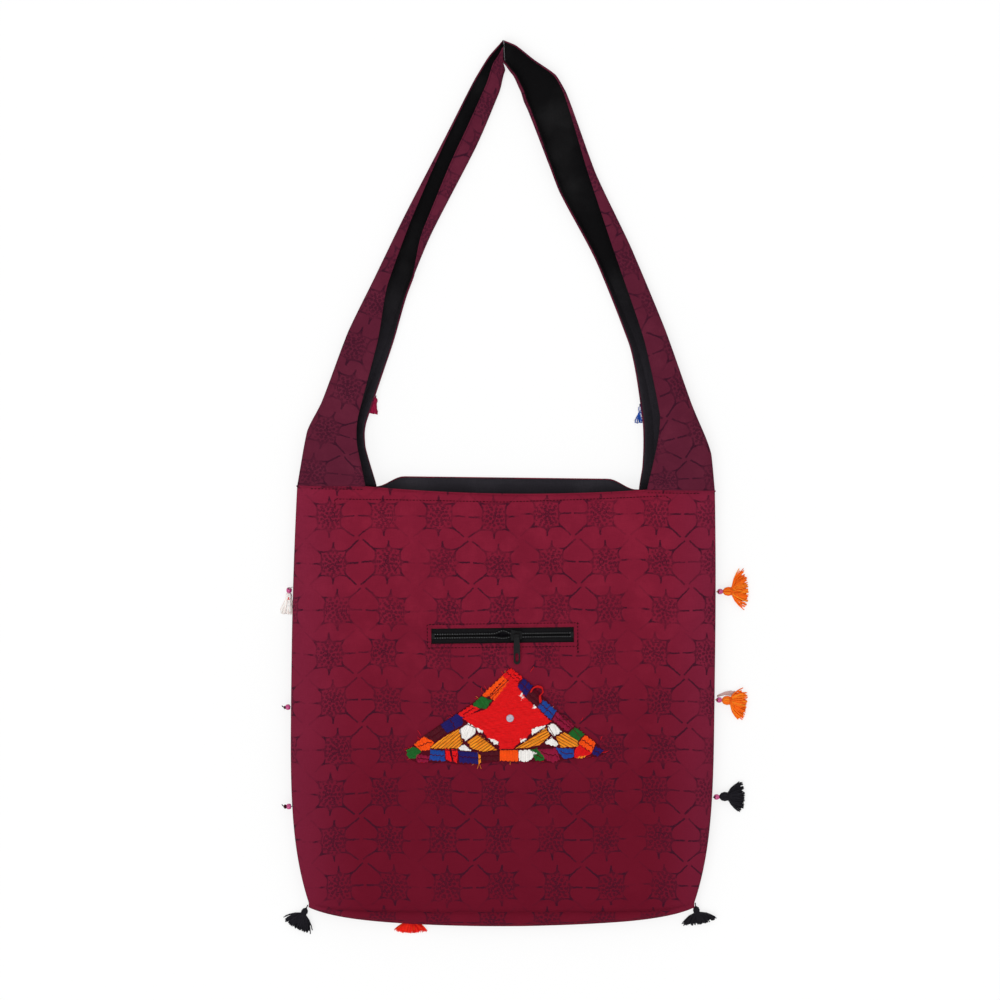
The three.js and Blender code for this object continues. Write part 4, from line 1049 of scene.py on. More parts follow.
BORDER_SHAPES = [
    ("red", 45, [(-2.7, 18.8), (5.2, 25.5), (15.6, 16.9), (11.3, 13.4), (5.2, 18.8), (1.6, 15.1)]),
    ("orange", 135, [(-2.3, 18.6), (0.0, 16.6), (-15.0, 0.4), (-20.5, 1.4)]),
    ("orange", 135, [(0.6, 16.3), (3.8, 13.0), (-9.2, -2.6), (-13.8, 0.1)]),
    ("green", 125, [(-20.5, 1.0), (-11.8, -2.5), (-16.4, -10.1), (-28.0, -7.9), (-27.2, -5.1)]),
    ("red", 120, [(-28.7, -6.5), (-22.2, -10.1), (-33.7, -16.6), (-36.6, -17.3), (-41.2, -14.4)]),
    ("navy", 30, [(-42.4, -14.4), (-36.6, -17.3), (-36.9, -23.8), (-50.3, -31.0), (-56.1, -23.8)]),
    ("wine", 120, [(-56.1, -24.5), (-51.0, -30.3), (-61.1, -38.2), (-71.2, -33.9)]),
    ("orange", 115, [(-70.5, -33.9), (-61.1, -39.0), (-66.2, -45.4), (-72.7, -46.2), (-78.9, -41.1)]),
    ("green", 20, [(-79.2, -42.8), (-72.4, -46.2), (-77.7, -53.4), (-83.5, -52.7), (-84.9, -50.5),
                   (-85.4, -45.4)]),
    ("navy", 50, [(16.0, 16.6), (23.7, 10.1), (18.2, 0.7), (11.0, 9.4)]),
    ("wine", 50, [(21.8, 7.2), (33.3, -3.6), (29.7, -8.7), (18.2, -0.7)]),
    ("royal", 50, [(33.3, -2.2), (44.5, -11.5), (39.8, -19.5), (28.3, -7.9)]),
    ("magenta", 52, [(44.9, -12.3), (60.0, -24.5), (54.3, -29.6), (41.3, -19.5)]),
    ("green", 52, [(60.8, -26.0), (69.0, -31.7), (62.9, -38.2), (55.0, -31.7)]),
    ("orange", 55, [(69.4, -32.5), (78.8, -39.7), (75.2, -47.6), (63.6, -39.7)]),
    ("navy", 55, [(78.8, -42.6), (85.3, -46.2), (80.2, -51.2), (75.2, -48.3)]),
    ("magenta", 80, [(-77.7, -49.1), (-65.5, -51.2), (-66.9, -56.3), (-76.3, -56.3)]),
    ("royal", 88, [(-64.8, -45.4), (-52.5, -46.2), (-51.8, -55.5), (-65.5, -54.1)]),
    ("red", 100, [(-52.2, -44.7), (-48.5, -45.0), (-46.0, -56.0), (-51.0, -54.1)]),
    ("red", 104, [(-46.8, -45.0), (-40.9, -45.4), (-41.7, -57.7), (-44.6, -55.0)]),
    ("navy", 92, [(-40.7, -46.2), (-23.6, -47.6), (-22.9, -57.7), (-39.5, -56.3)]),
    ("gold", 92, [(-24.0, -48.0), (-21.4, -50.0), (-21.0, -56.0), (-22.9, -58.6)]),
    ("wine", 90, [(-21.5, -47.6), (-4.9, -46.2), (-4.9, -54.8), (-20.0, -54.1)]),
    ("orange", 90, [(-4.6, -45.4), (11.3, -45.4), (11.6, -55.5), (-4.3, -54.8)]),
    ("white", 88, [(11.9, -46.2), (21.8, -45.4), (27.6, -48.3), (21.1, -54.8), (16.8, -55.8), (12.1, -54.8)]),
    ("green", 70, [(21.8, -45.4), (27.6, -44.0), (34.8, -51.2), (33.3, -54.8), (26.9, -54.8), (24.0, -50.5)]),
    ("magenta", 88, [(27.6, -44.7), (44.2, -44.0), (47.8, -54.1), (41.3, -56.3), (35.5, -54.1),
                     (29.7, -47.6)]),
    ("royal", 80, [(43.4, -44.0), (59.3, -44.7), (59.7, -51.9), (51.4, -53.4), (47.1, -48.3)]),
    ("red", 60, [(60.8, -44.7), (64.4, -41.1), (75.2, -48.3), (68.7, -51.9), (60.0, -52.7)]),
    ("gold", 60, [(64.0, -50.6), (71.5, -49.8), (68.7, -52.3), (63.4, -52.9)]),
]
FIELD_SHAPES = [
    ("red", 8, [(5.2, 18.3), (1.6, 14.6), (-7.8, -0.7), (-15.0, -9.4), (-30.8, -15.1), (-36.6, -18.0),
                (-32.3, -21.6), (-25.8, -26.0), (-18.6, -30.3), (-15.0, -35.3), (-5.6, -38.2), (-4.9, -44.7),
                (6.7, -44.7), (11.7, -39.7), (18.2, -35.3), (22.5, -31.0), (24.0, -26.7), (35.5, -23.8),
                (39.8, -20.9), (28.3, -9.4), (18.2, -0.7), (11.3, 9.1), (11.3, 13.0)]),
    ("white", 70, [(-39.5, -28.1), (-31.6, -22.4), (-25.8, -26.0), (-25.8, -31.7), (-33.7, -37.5),
                   (-38.1, -33.9)]),
    ("white", 60, [(-25.1, -26.0), (-18.6, -28.1), (-19.3, -31.0), (-23.6, -29.6)]),
    ("white", 40, [(-14.3, -35.3), (-9.2, -36.1), (-6.0, -38.2), (-6.0, -41.1), (-9.2, -40.4)]),
    ("white", 100, [(-40.2, -43.3), (-35.2, -41.1), (-29.4, -46.2), (-31.6, -46.9), (-39.5, -45.4)]),
    ("white", 100, [(23.2, -28.1), (28.3, -25.2), (35.5, -24.5), (33.3, -27.4), (23.2, -32.5)]),
    ("white", 110, [(37.0, -24.5), (42.0, -22.4), (49.2, -29.6), (42.7, -33.6), (38.4, -29.6)]),
    ("white", 110, [(13.1, -36.1), (16.8, -35.1), (19.4, -36.8), (13.9, -39.7)]),
    ("white", 100, [(33.3, -39.0), (40.6, -34.6), (47.1, -41.1), (42.7, -42.3)]),
    ("white", 60, [(11.3, 2.9), (14.6, 3.9), (17.0, -0.7), (13.9, -2.2)]),
    ("white", 20, [(22.5, -7.9), (25.4, -6.5), (27.6, -8.7), (24.7, -10.5)]),
    ("gold", 40, [(-65.5, -43.3), (-51.0, -33.2), (-40.2, -27.4), (-38.8, -33.9), (-36.6, -39.0),
                  (-40.9, -44.0), (-62.6, -44.4)]),
    ("gold", 35, [(-32.3, -38.2), (-23.6, -31.7), (-15.0, -38.2), (-7.0, -45.4), (-19.3, -46.9),
                  (-29.4, -44.0)]),
    ("gold", 28, [(9.5, -44.0), (18.2, -38.2), (35.5, -26.7), (39.1, -32.5), (30.5, -41.1), (16.8, -44.0)]),
    ("gold", 150, [(44.2, -34.6), (51.4, -30.3), (57.1, -33.9), (63.6, -38.2), (62.9, -42.6), (48.5, -43.3)]),
]
PATCH_OUTLINE = [
    (5.2, 25.6), (15.8, 17.2), (24.2, 10.2), (44.8, -11.4), (60.4, -24.6), (79.2, -39.6), (85.6, -46.4),
    (85.2, -49.6),
    (80.0, -51.6), (68.7, -52.6), (59.7, -53.0), (41.3, -56.6), (27.0, -55.4), (16.8, -56.0), (-4.3, -55.2),
    (-22.9, -57.9), (-41.7, -57.9), (-51.8, -56.0), (-66.9, -56.6), (-76.3, -56.6), (-83.6, -53.0),
    (-85.6, -45.2),
    (-79.0, -41.0), (-70.8, -33.8), (-56.4, -23.6), (-42.6, -14.2), (-28.4, -5.0), (-20.6, 1.6), (-2.8, 18.9),
]
PATCH_GROUND = 28.35
EDGE_STRAYS = 34
MIRROR_X, MIRROR_Y = 4.4, -18.1
PATCH_LOOP = [(22.3, 4.5), (24, 7.8), (28, 9.5), (32, 8.3), (33, 4.6), (30.4, 1.2), (31, -4.2)]
PATCH_SEAMS = [
    ((3.2, 15.2), (-15.0, -1.6)), ((19.8, 13.2), (14.6, 5.0)), ((38.9, -7.0), (34.0, -13.8)),
    ((57.0, -18.6), (45.0, -20.0)), ((-36, -21.5), (-26.0, -26.5)), ((-25.8, -31.7), (-34.5, -38.5)),
    ((-38.5, -27.8), (-37.8, -38.5)), ((13, -40.5), (35, -25.5)), ((37.5, -24.5), (43.5, -35.0)),
    ((43.5, -34.2), (50.5, -29.5)), ((-25.5, -31), (-15, -38.5)), ((-15, -38.5), (-5.5, -46)),
    ((-5.2, -45.6), (42, -44.2)), ((-64, -45), (-24, -47.2)), ((45.5, -11.8), (66.0, -35.0)),
    ((33.3, -39.0), (42, -34)),
]
# The hem's row of stitches along the mouth
HEM = [(-147.9, 165.3), (-147.9, 172.3), (-75, 171.2), (-2.6, 169.6), (70, 172), (139.2, 174.9),
       (143.6, 172.3)]


def crossings(outline, angle, pitch, rng):
    """Parallel runs across an outline: the two ends of each, in millimetres."""
    turn = math.radians(angle)
    ahead, aside = np.array([math.cos(turn), math.sin(turn)]), np.array([-math.sin(turn), math.cos(turn)])
    along, across = outline @ ahead, outline @ aside
    runs = []
    for level in np.arange(across.min() + pitch / 2, across.max(), pitch):
        cuts = []
        for k in range(len(outline)):
            n = (k + 1) % len(outline)
            if (across[k] - level) * (across[n] - level) < 0:
                cuts.append(mix(along[k], along[n], (level - across[k]) / (across[n] - across[k])))
        cuts.sort()
        for first, second in zip(cuts[::2], cuts[1::2]):
            lift = level + rng.normal(0, pitch * 0.14, 2)
            ragged = [0.35 * math.sin(level * 1.7 + k) + rng.uniform(-0.35, 0.4) for k in (0, 2)]
            runs.append((ahead * (first - ragged[0]) + aside * lift[0],
                         ahead * (second + ragged[1]) + aside * lift[1]))
    return runs


def laid_on_patch(flat, height):
    """Points of the patch's plane at a height over its ground."""
    return np.column_stack([flat, np.broadcast_to(PATCH_GROUND + height, len(flat))])


class BAG_OT_patch(bpy.types.Operator):
    """Make the embroidered patch: its ground cloth and every stitched shape, thread by thread"""

    bl_idname = "bag.patch"
    bl_label = "Embroidered patch"

    def execute(self, context):
        sizes, colours = context.scene.bag_sizes, context.scene.bag_colours
        rng = np.random.default_rng(11)
        grow = threads_tree()
        threads = []
        for number, (name, angle, outline) in enumerate(BORDER_SHAPES + FIELD_SHAPES):
            in_border, centre = number < len(BORDER_SHAPES), len(outline) > 12
            two_rows = in_border and name != "white" and number % 5 != 3
            self.stitch(threads, name, getattr(colours, name), two_rows, centre,
                        crossings(np.array(outline), angle, sizes.floss_pitch / MM, rng), rng)
        self.finish(threads, "patch_floss", grow, floss("patch_floss", 0.5), "patch")
        self.ground(colours)
        threads = self.strays(colours, rng) + self.outlines(colours)
        self.finish(threads, "patch_loose_threads", grow, floss("loose_floss", 0.6))
        mirror = softened("patch_mirror", 0.2, mirror_disc("mirror_glass"))
        settle(mirror, "bag", "patch_mirror", slot="mirror")
        return {"FINISHED"}

    def finish(self, threads, name, grow, material, *nodes):
        made = grown(chains(name, *zip(*threads)), grow, Material=material, Sides=5)
        settle(made, "bag", *nodes, slot="embroidery")

    def stitch(self, threads, name, dye, two_rows, centre, runs, rng):
        """Lays a shape's runs as stitches that rise in their middle; gold is hatched at every fifth run."""
        longest = 6.5 if centre else 9.0
        spread = 0.07 if centre else 0.3 if name == "gold" else 0.14
        for row, (first, second) in enumerate(runs):
            length = float(np.linalg.norm(second - first))
            if length < 0.6:
                continue
            stitches, gap = max(1, round(length / longest)), 0
            if two_rows and length > 5:
                stitches, gap = 2, 0.45 / length
            jitter = rng.uniform(-0.18, 0.18, stitches - 1) / stitches * (0.2 if gap else 1)
            breaks = [0, *(np.arange(1, stitches) / stitches + jitter), 1]
            hatched = name == "gold" and row % 5 == 4
            for low, high in zip(breaks[:-1], breaks[1:]):
                share = np.linspace(low + gap * (low > 0), high - gap * (high < 1), 5)
                height = 0.5 + 0.5 * np.sin(np.linspace(0, math.pi, 5)) * min(1, length / 5)
                lift = 0.1 + height * 0.9 + rng.normal(0, 0.04) + 0.12 * hatched
                tone = rng.uniform(1 - spread, 1 + spread)
                radius = 0.36 if name == "white" else 0.28
                threads.append((laid_on_patch(mix(first, second, share[:, None]), lift),
                                radius, toned(dye, tone * (0.22 if hatched else 1))))

    def ground(self, colours):
        """The dark cloth under the floss: rings about its middle, with a flat underside."""
        outline = np.array(PATCH_OUTLINE)
        middle, sides = outline.mean(0), len(outline)
        points = [laid_on_patch([middle], 0.5)]
        for share, height in ((0.25, 0.5), (0.5, 0.5), (0.75, 0.5), (0.96, 0.5), (1.0, 0.15), (1.0, 0.0)):
            points.append(laid_on_patch(mix(middle, outline, share), height))
        faces = [(0, 1 + k, 1 + (k + 1) % sides) for k in range(sides)]
        for ring in range(5):
            for k in range(sides):
                a, b = 1 + ring * sides + k, 1 + ring * sides + (k + 1) % sides
                faces.append((a, a + sides, b + sides, b))
        faces.append(tuple(range(1 + 5 * sides, 1 + 6 * sides)))
        points = np.concatenate(points)
        cloth = printed_cotton("patch_ground", colours.wine, colours.print_dark, 0, False)
        made = mesh_object("patch_ground", points, outwards(points, faces), cloth, points[:, :2])
        settle(made, "bag", slot="embroidery")

    def strays(self, colours, rng):
        """Loose ends at their own places, and shorter ones all round the edge."""
        wine, red, gold = colours.wine, colours.red, colours.gold
        threads = []
        for dye, x, y, way in ((red, -20, 5, 100), (red, -16, 6, 95), (red, 22, 22, 60), (wine, -58, -29, 60),
                               (red, 83, -37, 70), (red, 66, -20, 55), (gold, -22, -58, -80),
                               (gold, -23, -58, -95), (red, 84, -48, 10), (red, -73, -33, 120),
                               (wine, 60, -53, -60), (red, -1, 20, 130)):
            turn = way + rng.uniform(-15, 15)
            share = np.linspace(0, 1, 7)
            run = share * rng.uniform(3, 6.5)
            bend = share ** 2 * rng.uniform(-1.4, 1.4)
            lift = PATCH_GROUND + 0.4 + 0.5 * np.sin(share * math.pi)
            threads.append((turned(np.column_stack([run, bend, lift]), (x, y), turn), 0.16, dye))
        outline = np.array(PATCH_OUTLINE)
        middle = outline.mean(0)
        share = np.linspace(0, 1, 6)[:, None]
        for _ in range(EDGE_STRAYS):
            k = rng.integers(len(outline))
            start = mix(outline[k], outline[(k + 1) % len(outline)], rng.uniform())
            away = (start - middle) / np.linalg.norm(start - middle)
            side = np.array([-away[1], away[0]]) * rng.uniform(-1, 1)
            reach = rng.uniform(1.2, 3.6)
            bend = side * share ** 2 * rng.uniform(-1.5, 1.5)
            flat = start - away * 0.5 + (away + side) * reach * share + bend
            dye = (red, wine, red, gold)[rng.integers(4)]
            threads.append((laid_on_patch(flat, 0.3 + 0.4 * np.sin(share[:, 0] * math.pi)), 0.13, dye))
        return threads

    def outlines(self, colours):
        """The red loop, the dark outline stitches and the ring round the mirror."""
        threads, steps = [], 36
        smooth = np.array([[curve_value(values, share) for values in zip(*PATCH_LOOP)]
                           for share in np.linspace(0, 1, steps)])
        for aside in (-0.5, 0.1, 0.6):
            strand = smooth + aside * np.sin(np.linspace(0.4, 5, steps))[:, None]
            lift = 1.3 + 0.4 * np.sin(np.linspace(aside, 9, steps))
            threads.append((laid_on_patch(strand, lift), 0.55, toned(colours.red, 0.7)))
        for first, second in PATCH_SEAMS:
            share = np.linspace(0, 1, 8)[:, None]
            run = mix(np.array(first), np.array(second), share)
            threads.append((laid_on_patch(run, 1.15), 0.3, colours.wine))
        turn = np.linspace(0, 2 * math.pi, 40)
        for radius, height in ((3.8, 1.5), (4.3, 1.3)):
            ring = np.column_stack([MIRROR_X + radius * np.cos(turn), MIRROR_Y + radius * np.sin(turn)])
            threads.append((laid_on_patch(ring, height), 0.32, colours.red))
        return threads


class BAG_OT_stitching(bpy.types.Operator):
    """Sew the mouth's hem, the rectangle round the zip and the strap's seams"""

    bl_idname = "bag.stitching"
    bl_label = "Stitching"

    def execute(self, context):
        sizes, colours = context.scene.bag_sizes, context.scene.bag_colours
        cloth = rumpled(body_surface(1, 0), sizes.rumple / MM).reshape(-1, 3)

        def on_panel(places):
            nearest = [np.argmin((cloth[:, 0] - x) ** 2 + (cloth[:, 1] - y) ** 2) for x, y in places]
            return np.column_stack([places, cloth[nearest, 2] + STITCH_LIFT])

        tack = zip_to_bag([(64.9, -6.0, 0.3), (65.1, -9, 0.35), (65.0, -12, 0.35), (65.1, -15.2, 0.3)])
        round_zip = rounded_rectangle(ZIP_SEAM_X, ZIP_SEAM_Y, STITCH_LIFT)
        lines = [on_panel(walked(HEM, 6)), zip_to_bag(walked(round_zip, 6)), tack,
                 tack + np.array([0.35, 0.2, 0.1])]
        for side in (-1, 1):
            x = np.linspace(side * (TOP_HALF - NEAR_ARM + 2), side * (TOP_HALF - 14), 10)
            lines.append(on_panel(np.column_stack([x, strap_line(x) - 2.2])))
        made = grown(chains("sewn_lines", lines), stitches_tree(), Pitch=sizes.stitch_pitch,
                     Radius=sizes.stitch_radius, Material=sewing_thread())
        settle(made, "bag", slot="maroon_cloth")
        self.apex(colours)
        return {"FINISHED"}

    def apex(self, colours):
        """The strap's top seam: its turned-in edge, and a pale grey thread along it that is a painted
        highlight on the fold's edge.
        """
        top = MOUTH + STRAP_DROP
        share = np.linspace(0, 1, 26)
        y = mix(top - 0.5, top - GATHER + 0.5, share)
        ridge = np.column_stack([np.full(26, STRAP_SEAM_X), y, mix(6.6, 1.6, ease(share, 0.16, 0.3))])
        # The pale grey thread along the ridge is a painted highlight on the fold's edge.
        grey = ridge + np.column_stack([0.5 + 0.9 * share ** 2, np.zeros(26), np.full(26, 0.75)])
        made = chains("apex_seam", [ridge, ridge - np.array([0, 0, 1.2]), grey], [0.85, 0.85, 0.3],
                      [colours.strap_black, colours.strap_black, (0.24, 0.235, 0.25)])
        grown(made, threads_tree(), Material=floss("seam_thread", 0.8), Sides=6)
        settle(made, "bag", slot="maroon_cloth")


# Tassels. Their lengths run from the seam: root is the cord's height there and aside its sideways start,
# head and head_wide the place and radius of the bound head, tall the height of the skirt and thick its yarn.

Tassel = namedtuple("Tassel", "root aside head head_wide length tall thick", defaults=(1,))
SIDE = Tassel(7.6, 0, 9.6, 3.9, 27, 2.4)
CORNER = Tassel(7.6, 0, 6.4, 2.7, 22.5, 2.4)
SMALL = Tassel(3.6, 0, 4.4, 2.4, 16, 1.7)
BOTTOM = Tassel(2.3, 0, 4, 1.5, 16, 1.7)
TUFT = Tassel(7, 2.6, 7.6, 2.6, 23, 1.6, 1.45)
THREAD_SLOTS = {"tuft_cream": "cream", "royal": "blue", "tassel_orange": "orange"}
CORD_SLACK, BEAD_ASIDE = 0.65, 0.45
BEAD_RADIUS, BEAD_HALF, BEAD_WALL = 1.65, 1.95, 0.9


def seam_at(side, y):
    """Where a cord leaves the side seam, which runs straight between the part's own rows."""
    down = np.linspace(1, 0, 13)
    seam = side * half_width(down)
    rows = mix(back_mouth(seam), CREASE + 5, down)
    return float(np.interp(y, rows, centre_line(down) + seam)) + side * CORD_SLACK


def tassel_list():
    """Each tassel's name, place, way in degrees from +X, dyes, sizes and the two ends of its fan."""
    corner_x, middle = half_width(1.0) + CORD_SLACK, centre_line(1.0)
    sunny = ("tassel_orange", "tassel_gold")
    return [
        ("right_upper", (seam_at(1, 91.5), 91.5), 2, sunny, SIDE, (18, -14)),
        ("right_middle", (seam_at(1, -2.6), -2.6), -4, sunny, SIDE, (10.5, -16)),
        ("right_lower", (seam_at(1, -87.5), -87.5), 2, ("black", "black"), SIDE, (11, -11.5)),
        ("left_upper", (seam_at(-1, 95.7) - TUFT.aside, 95.7), -94,
         ("tuft_cream", "tuft_cream"), TUFT, (4.6, -4.6)),
        ("corner_left", (middle - corner_x, CREASE + 3), -117, ("black", "black"), CORNER, (12, -12)),
        ("corner_right", (middle + corner_x, CREASE + 5), -80, ("black", "black"),
         CORNER._replace(length=19), (14.5, -13)),
        ("bottom", (-81.5, -189.6), -90, ("red", "orange"), BOTTOM, (12.5, -12.5)),
        ("strap_left", (-112.4, 262.5), -104, ("magenta", "magenta"), SMALL._replace(length=15.5), (3.2, -2)),
        ("strap_right", (117.6, 255.2), -83, ("royal", "white"), SMALL, (4.5, -4.5)),
    ]


class BAG_OT_tassels(bpy.types.Operator):
    """Make the tassels thread by thread, their bound heads, cords and glass beads"""

    bl_idname = "bag.tassels"
    bl_label = "Tassels"

    def execute(self, context):
        sizes, colours = context.scene.bag_sizes, context.scene.bag_colours
        grow, yarn = threads_tree(), floss("tassel_yarn", 0.75)
        glass = bead_glass("magenta_glass", (0.55, 0.02, 0.20))
        rng = np.random.default_rng(5)
        for short_name, place, way, (main, tip), size, fan in tassel_list():
            name = f"tassel_{short_name}"
            rest = size.head_wide * 0.8 + CLEARANCE
            threads = self.skirt(name, getattr(colours, main), getattr(colours, tip), size, rest, fan,
                                 sizes.tassel_threads, rng)
            made = self.laid(f"{name}_threads", threads, place, way)
            grown(made, grow, Material=yarn, Sides=5)
            settle(made, name, name, slot=f"thread_{THREAD_SLOTS.get(main, main)}")
            if f"{name}_bead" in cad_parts:
                start = size.head - size.head_wide
                slope = (mix(size.root, rest, 0.7) - size.root) / start
                along = start * 0.5 + BEAD_ASIDE
                self.bead(f"{name}_bead", name, place, way, along, size.root + slope * along, slope, glass)
        for name, y, way, knot, length in (("thread_left_middle", -8.7, -172, 1.0, 6.0),
                                           ("thread_left_lower", -95.5, -178, 1.5, 7.4)):
            place = (seam_at(-1, y) + CORD_SLACK - CLEARANCE, y)
            made = self.laid(f"{name}_knot", self.stub(knot, length, colours.wine, colours.black), place, way)
            settle(grown(made, grow, Material=yarn, Sides=6), "bag", name, slot="thread_black")
            self.bead(f"{name}_bead", "bag", place, way, length - 2 * knot - BEAD_RADIUS, SIDE.root, 0, glass)
        return {"FINISHED"}

    def laid(self, name, threads, place, way):
        lines, radii, dyes = zip(*threads)
        return chains(name, [turned(line, place, way) for line in lines], radii, dyes)

    def skirt(self, name, main, tip, size, rest, fan, count, rng):
        """The cord, the skirt's yarns over the round head, and the thread wrapped round its neck."""
        head, start = size.head, size.head - size.head_wide
        wide, ball = size.head_wide * 0.82, size.head_wide * 0.95
        neck = head + ball
        cord = np.array([(0, size.aside, size.root), (0.3 * start, 0, size.root),
                         (start, 0, mix(size.root, rest, 0.8)), (head, 0, rest)])
        threads = [(cord + np.array([0, offset, 0]), 0.3, toned(main, 0.35)) for offset in (-0.22, 0.22)]
        for _ in range(count):
            angle, out = rng.uniform(0, 2 * math.pi), math.sqrt(rng.uniform(0.05, 1))
            side, over = math.cos(angle) * out, math.sin(angle) * out
            spread = mix(fan[1], fan[0], min(1, max(0, (rng.uniform(-0.35, 0.35) + side * 0.95 + 1) / 2)))
            length = size.length * rng.uniform(0.84, 1.05)
            height = max(0.4, size.tall * (0.9 + over * 0.95))
            end = neck + (length - neck) * math.cos(min(1.0, abs(spread) / 26))
            curl = rng.normal(0, 1.2)
            line = [
                (start, side * 0.5, mix(size.root, rest, 0.8)),
                (head - ball * 0.5, side * ball * 0.8, rest + over * ball * 0.75),
                (head + ball * 0.2, side * ball, rest + over * ball * 0.8),
                (neck, side * wide, rest + over * wide),
                (mix(neck, end, 0.3), mix(side * wide, spread, 0.5), mix(rest, height, 0.6) + over * 0.6),
                (mix(neck, end, 0.65), mix(side * wide, spread, 0.8) + curl * 0.5, max(0.4, height + 0.3)),
                (end, spread + curl, max(0.35, height - 0.5 * rng.uniform(0, 1))),
            ]
            radius = rng.uniform(0.4, 0.55) * size.thick
            is_tip = rng.uniform() < (0.3 if tip[2] > 0.5 else 0.12)
            share = 1.0 if is_tip else rng.uniform(0, 0.25) * (main[0] > 0.5)
            dye = toned([mix(a, b, share) for a, b in zip(main, tip)], rng.uniform(0.85, 1.2))
            threads.append((line, radius, dye))
        if name == "tassel_right_middle":
            threads += self.pale_bunch(rest, rng)
        turns = np.linspace(0, 5 * 2 * math.pi, 60)
        wrap = size.head_wide * 0.88
        coiled = np.column_stack([neck - 0.9 + turns / (2 * math.pi) * 0.42, wrap * np.cos(turns),
                                  rest + wrap * np.sin(turns)])
        wrap_dye = (0.75, 0.02, 0.01) if name == "tassel_left_upper" else toned(main, 0.8)
        return [*threads, (coiled, 0.3, wrap_dye)]

    def pale_bunch(self, rest, rng):
        """The short pale threads behind the middle tassel."""
        threads = []
        for _ in range(46):
            aside, out = rng.uniform(-1.3, 1.3), rng.uniform(13, 19)
            line = [(1.5, 3.2 + aside * 0.4, rest), (8, 6 + aside, 2.2), (out, 6.6 + aside * 1.6, 0.9)]
            radius = rng.uniform(0.3, 0.4)
            threads.append((line, radius, (0.62, rng.uniform(0.38, 0.46), rng.uniform(0.36, 0.44))))
        return threads

    def bead(self, name, body, place, way, along, height, slope, glass, rounds=20, sides=28):
        """A pressed glass bead: a rounded ring with a bore along its cord."""
        turn = np.linspace(0, 2 * math.pi, rounds, endpoint=False)
        radius = BEAD_RADIUS + BEAD_WALL * np.sin(turn)
        angle = np.arange(sides)[:, None] / sides * 2 * math.pi
        x = np.broadcast_to(BEAD_HALF * np.cos(turn), (sides, rounds)).ravel()
        y, z = (radius * np.cos(angle)).ravel(), (radius * np.sin(angle)).ravel()
        lean = math.atan(slope)
        points = np.stack([x * math.cos(lean) - z * math.sin(lean) + along, y,
                           x * math.sin(lean) + z * math.cos(lean) + height], axis=1)
        index = np.arange(sides * rounds).reshape(sides, rounds)
        ahead = np.roll(index, -1, 0)
        corners = [index, np.roll(index, -1, 1), np.roll(ahead, -1, 1), ahead]
        faces = np.stack(corners, axis=-1).reshape(-1, 4).tolist()
        placed = turned(points, place, way)
        made = mesh_object(f"{name}_glass", placed, outwards(placed, faces), glass)
        settle(made, body, name, slot="bead_glass")

    def stub(self, knot, length, wine, black):
        """A bead's short thread, ended by a knot of four turns and a loose tail."""
        root, middle = SIDE.root, length - knot
        threads = [([(0, 0, root), (length * 0.5, 0.1, root), (middle, 0, root)], 0.42, wine)]
        turn = np.linspace(0, 2 * math.pi, 18)
        for tilt, dye in ((0, black), (0.6, black), (-0.6, black), (1.2, wine)):
            across, beside = knot * 0.7 * np.cos(turn), knot * 0.9 * np.sin(turn)
            ring = np.column_stack([middle + across * math.cos(tilt), beside, root + across * math.sin(tilt)])
            threads.append((ring, 0.55, dye))
        tail = [(middle, 0, root), (length + 0.6, -0.8, root - 0.6), (length + 1.4, -1.9, root - 1.4)]
        return [*threads, (tail, 0.45, black)]


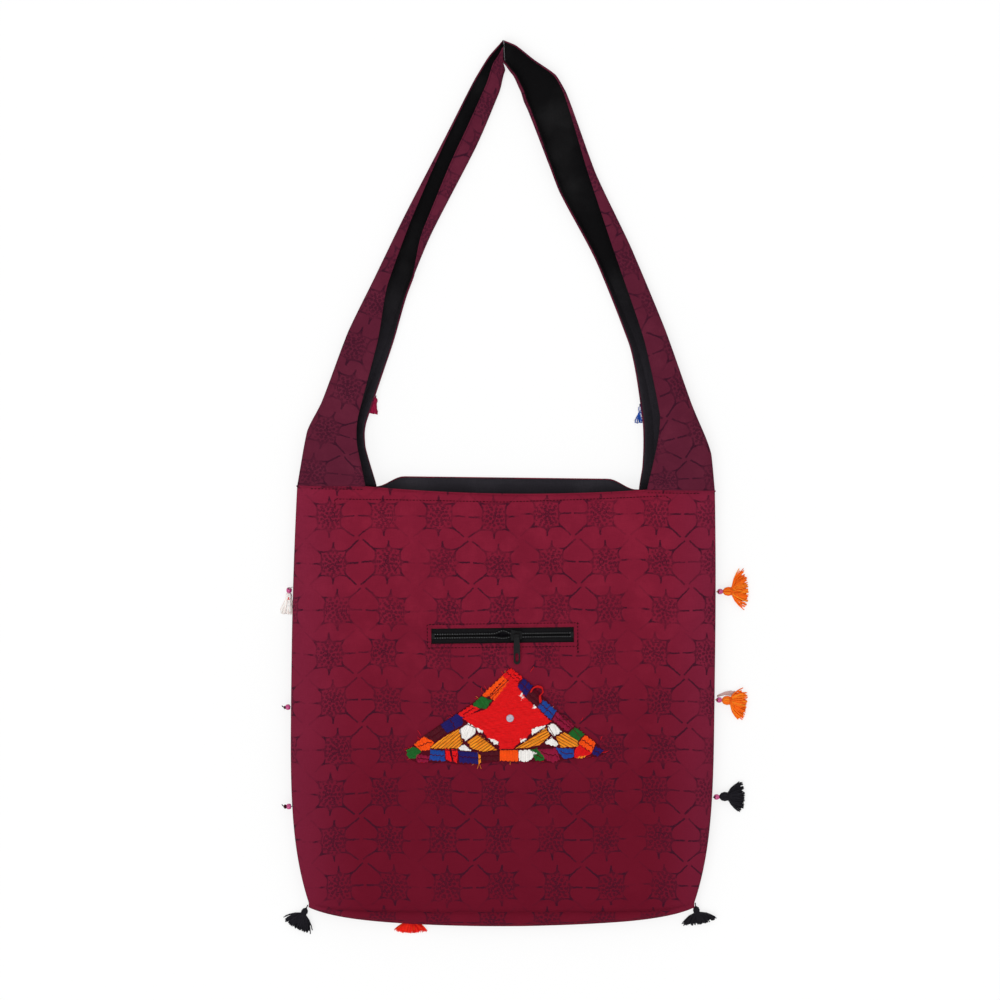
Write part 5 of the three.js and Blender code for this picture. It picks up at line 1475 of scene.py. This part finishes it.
class BAG_OT_stage(bpy.types.Operator):
    """Lay the pale floor, hang the camera over the bag and light it softly"""

    bl_idname = "bag.stage"
    bl_label = "Stage"

    def execute(self, context):
        scene, height = context.scene, context.scene.bag_sizes.camera_height
        paint = Paint("pale_floor")
        paint.finish((0.86, 0.86, 0.86), 0.9)
        rays = paint.node("ShaderNodeLightPath").outputs
        seen = Field(paint, rays["Is Camera Ray"])
        for kind in ("Is Glossy Ray", "Is Transmission Ray"):
            seen = seen.most(Field(paint, rays[kind]))
        glow = paint.node("ShaderNodeEmission", {"Color": (1, 1, 1), "Strength": 1.04})
        shown = paint.node("ShaderNodeMixShader", [seen * 0.72, paint.shader.outputs[0], glow.outputs[0]])
        feed(paint.tree, paint.out.inputs["Surface"], shown.outputs[0])
        half, under = 40000, -0.4
        corners = [(x * half, y * half, under) for x, y in ((-1, -1), (1, -1), (1, 1), (-1, 1))]
        mesh_object("floor", corners, [(0, 1, 2, 3)], paint.material)

        world = scene.world = bpy.data.worlds.new("soft_room")
        world.use_nodes = True
        tree = world.node_tree
        tree.nodes.clear()
        rays = place_node(tree, "ShaderNodeLightPath").outputs
        direct = place_node(tree, "ShaderNodeMath", [rays["Is Camera Ray"], rays["Is Transmission Ray"]],
                            operation="MAXIMUM")
        level = place_node(tree, "ShaderNodeMapRange",
                           {"Value": direct.outputs[0], "To Min": 0.72, "To Max": 1.0})
        room = place_node(tree, "ShaderNodeBackground", {"Color": (1, 1, 1), "Strength": level.outputs[0]})
        place_node(tree, "ShaderNodeOutputWorld", {"Surface": room.outputs[0]})

        for name, energy, spread, tilt_x, tilt_y in (("key", 1.0, 50, 28, -24), ("fill", 0.35, 90, -30, 30)):
            lamp = bpy.data.lights.new(name, "SUN")
            lamp.energy, lamp.angle = energy, math.radians(spread)
            linked(name, lamp).rotation_euler = (math.radians(tilt_x), math.radians(tilt_y), 0)

        seen_width, middle_x, middle_y, plane = 870, -4.35, 171.4, 16
        camera = bpy.data.cameras.new("camera")
        camera.sensor_width, camera.clip_end = 36, 200
        camera.lens = camera.sensor_width * (height / MM - plane) / seen_width
        scene.camera = linked("camera", camera)
        scene.camera.location = (middle_x * MM, middle_y * MM, height)
        scene.view_settings.view_transform = "Standard"
        return {"FINISHED"}


class BAG_PT_panel(bpy.types.Panel):
    """The bag's sizes, colours and making steps"""

    bl_label = "Sling Bag"
    bl_idname = "BAG_PT_panel"
    bl_space_type = "VIEW_3D"
    bl_region_type = "UI"
    bl_category = "Sling Bag"

    def draw(self, context):
        for group in (context.scene.bag_sizes, context.scene.bag_colours):
            for key in group.__annotations__:
                self.layout.prop(group, key)
        for step in STEPS:
            self.layout.operator(step.bl_idname)


STEPS = (BAG_OT_stage, BAG_OT_body, BAG_OT_strap, BAG_OT_zip, BAG_OT_patch, BAG_OT_stitching, BAG_OT_tassels)
CLASSES = (BagSizes, BagColours, *STEPS, BAG_PT_panel)


def register():
    for made in CLASSES:
        bpy.utils.register_class(made)
    bpy.types.Scene.bag_sizes = PointerProperty(type=BagSizes)
    bpy.types.Scene.bag_colours = PointerProperty(type=BagColours)


def unregister():
    del bpy.types.Scene.bag_colours
    del bpy.types.Scene.bag_sizes
    for made in reversed(CLASSES):
        bpy.utils.unregister_class(made)


def main():
    register()
    for step in STEPS:
        getattr(bpy.ops.bag, step.bl_idname.split(".")[1])()
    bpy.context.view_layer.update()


if __name__ == "__main__":
    main()
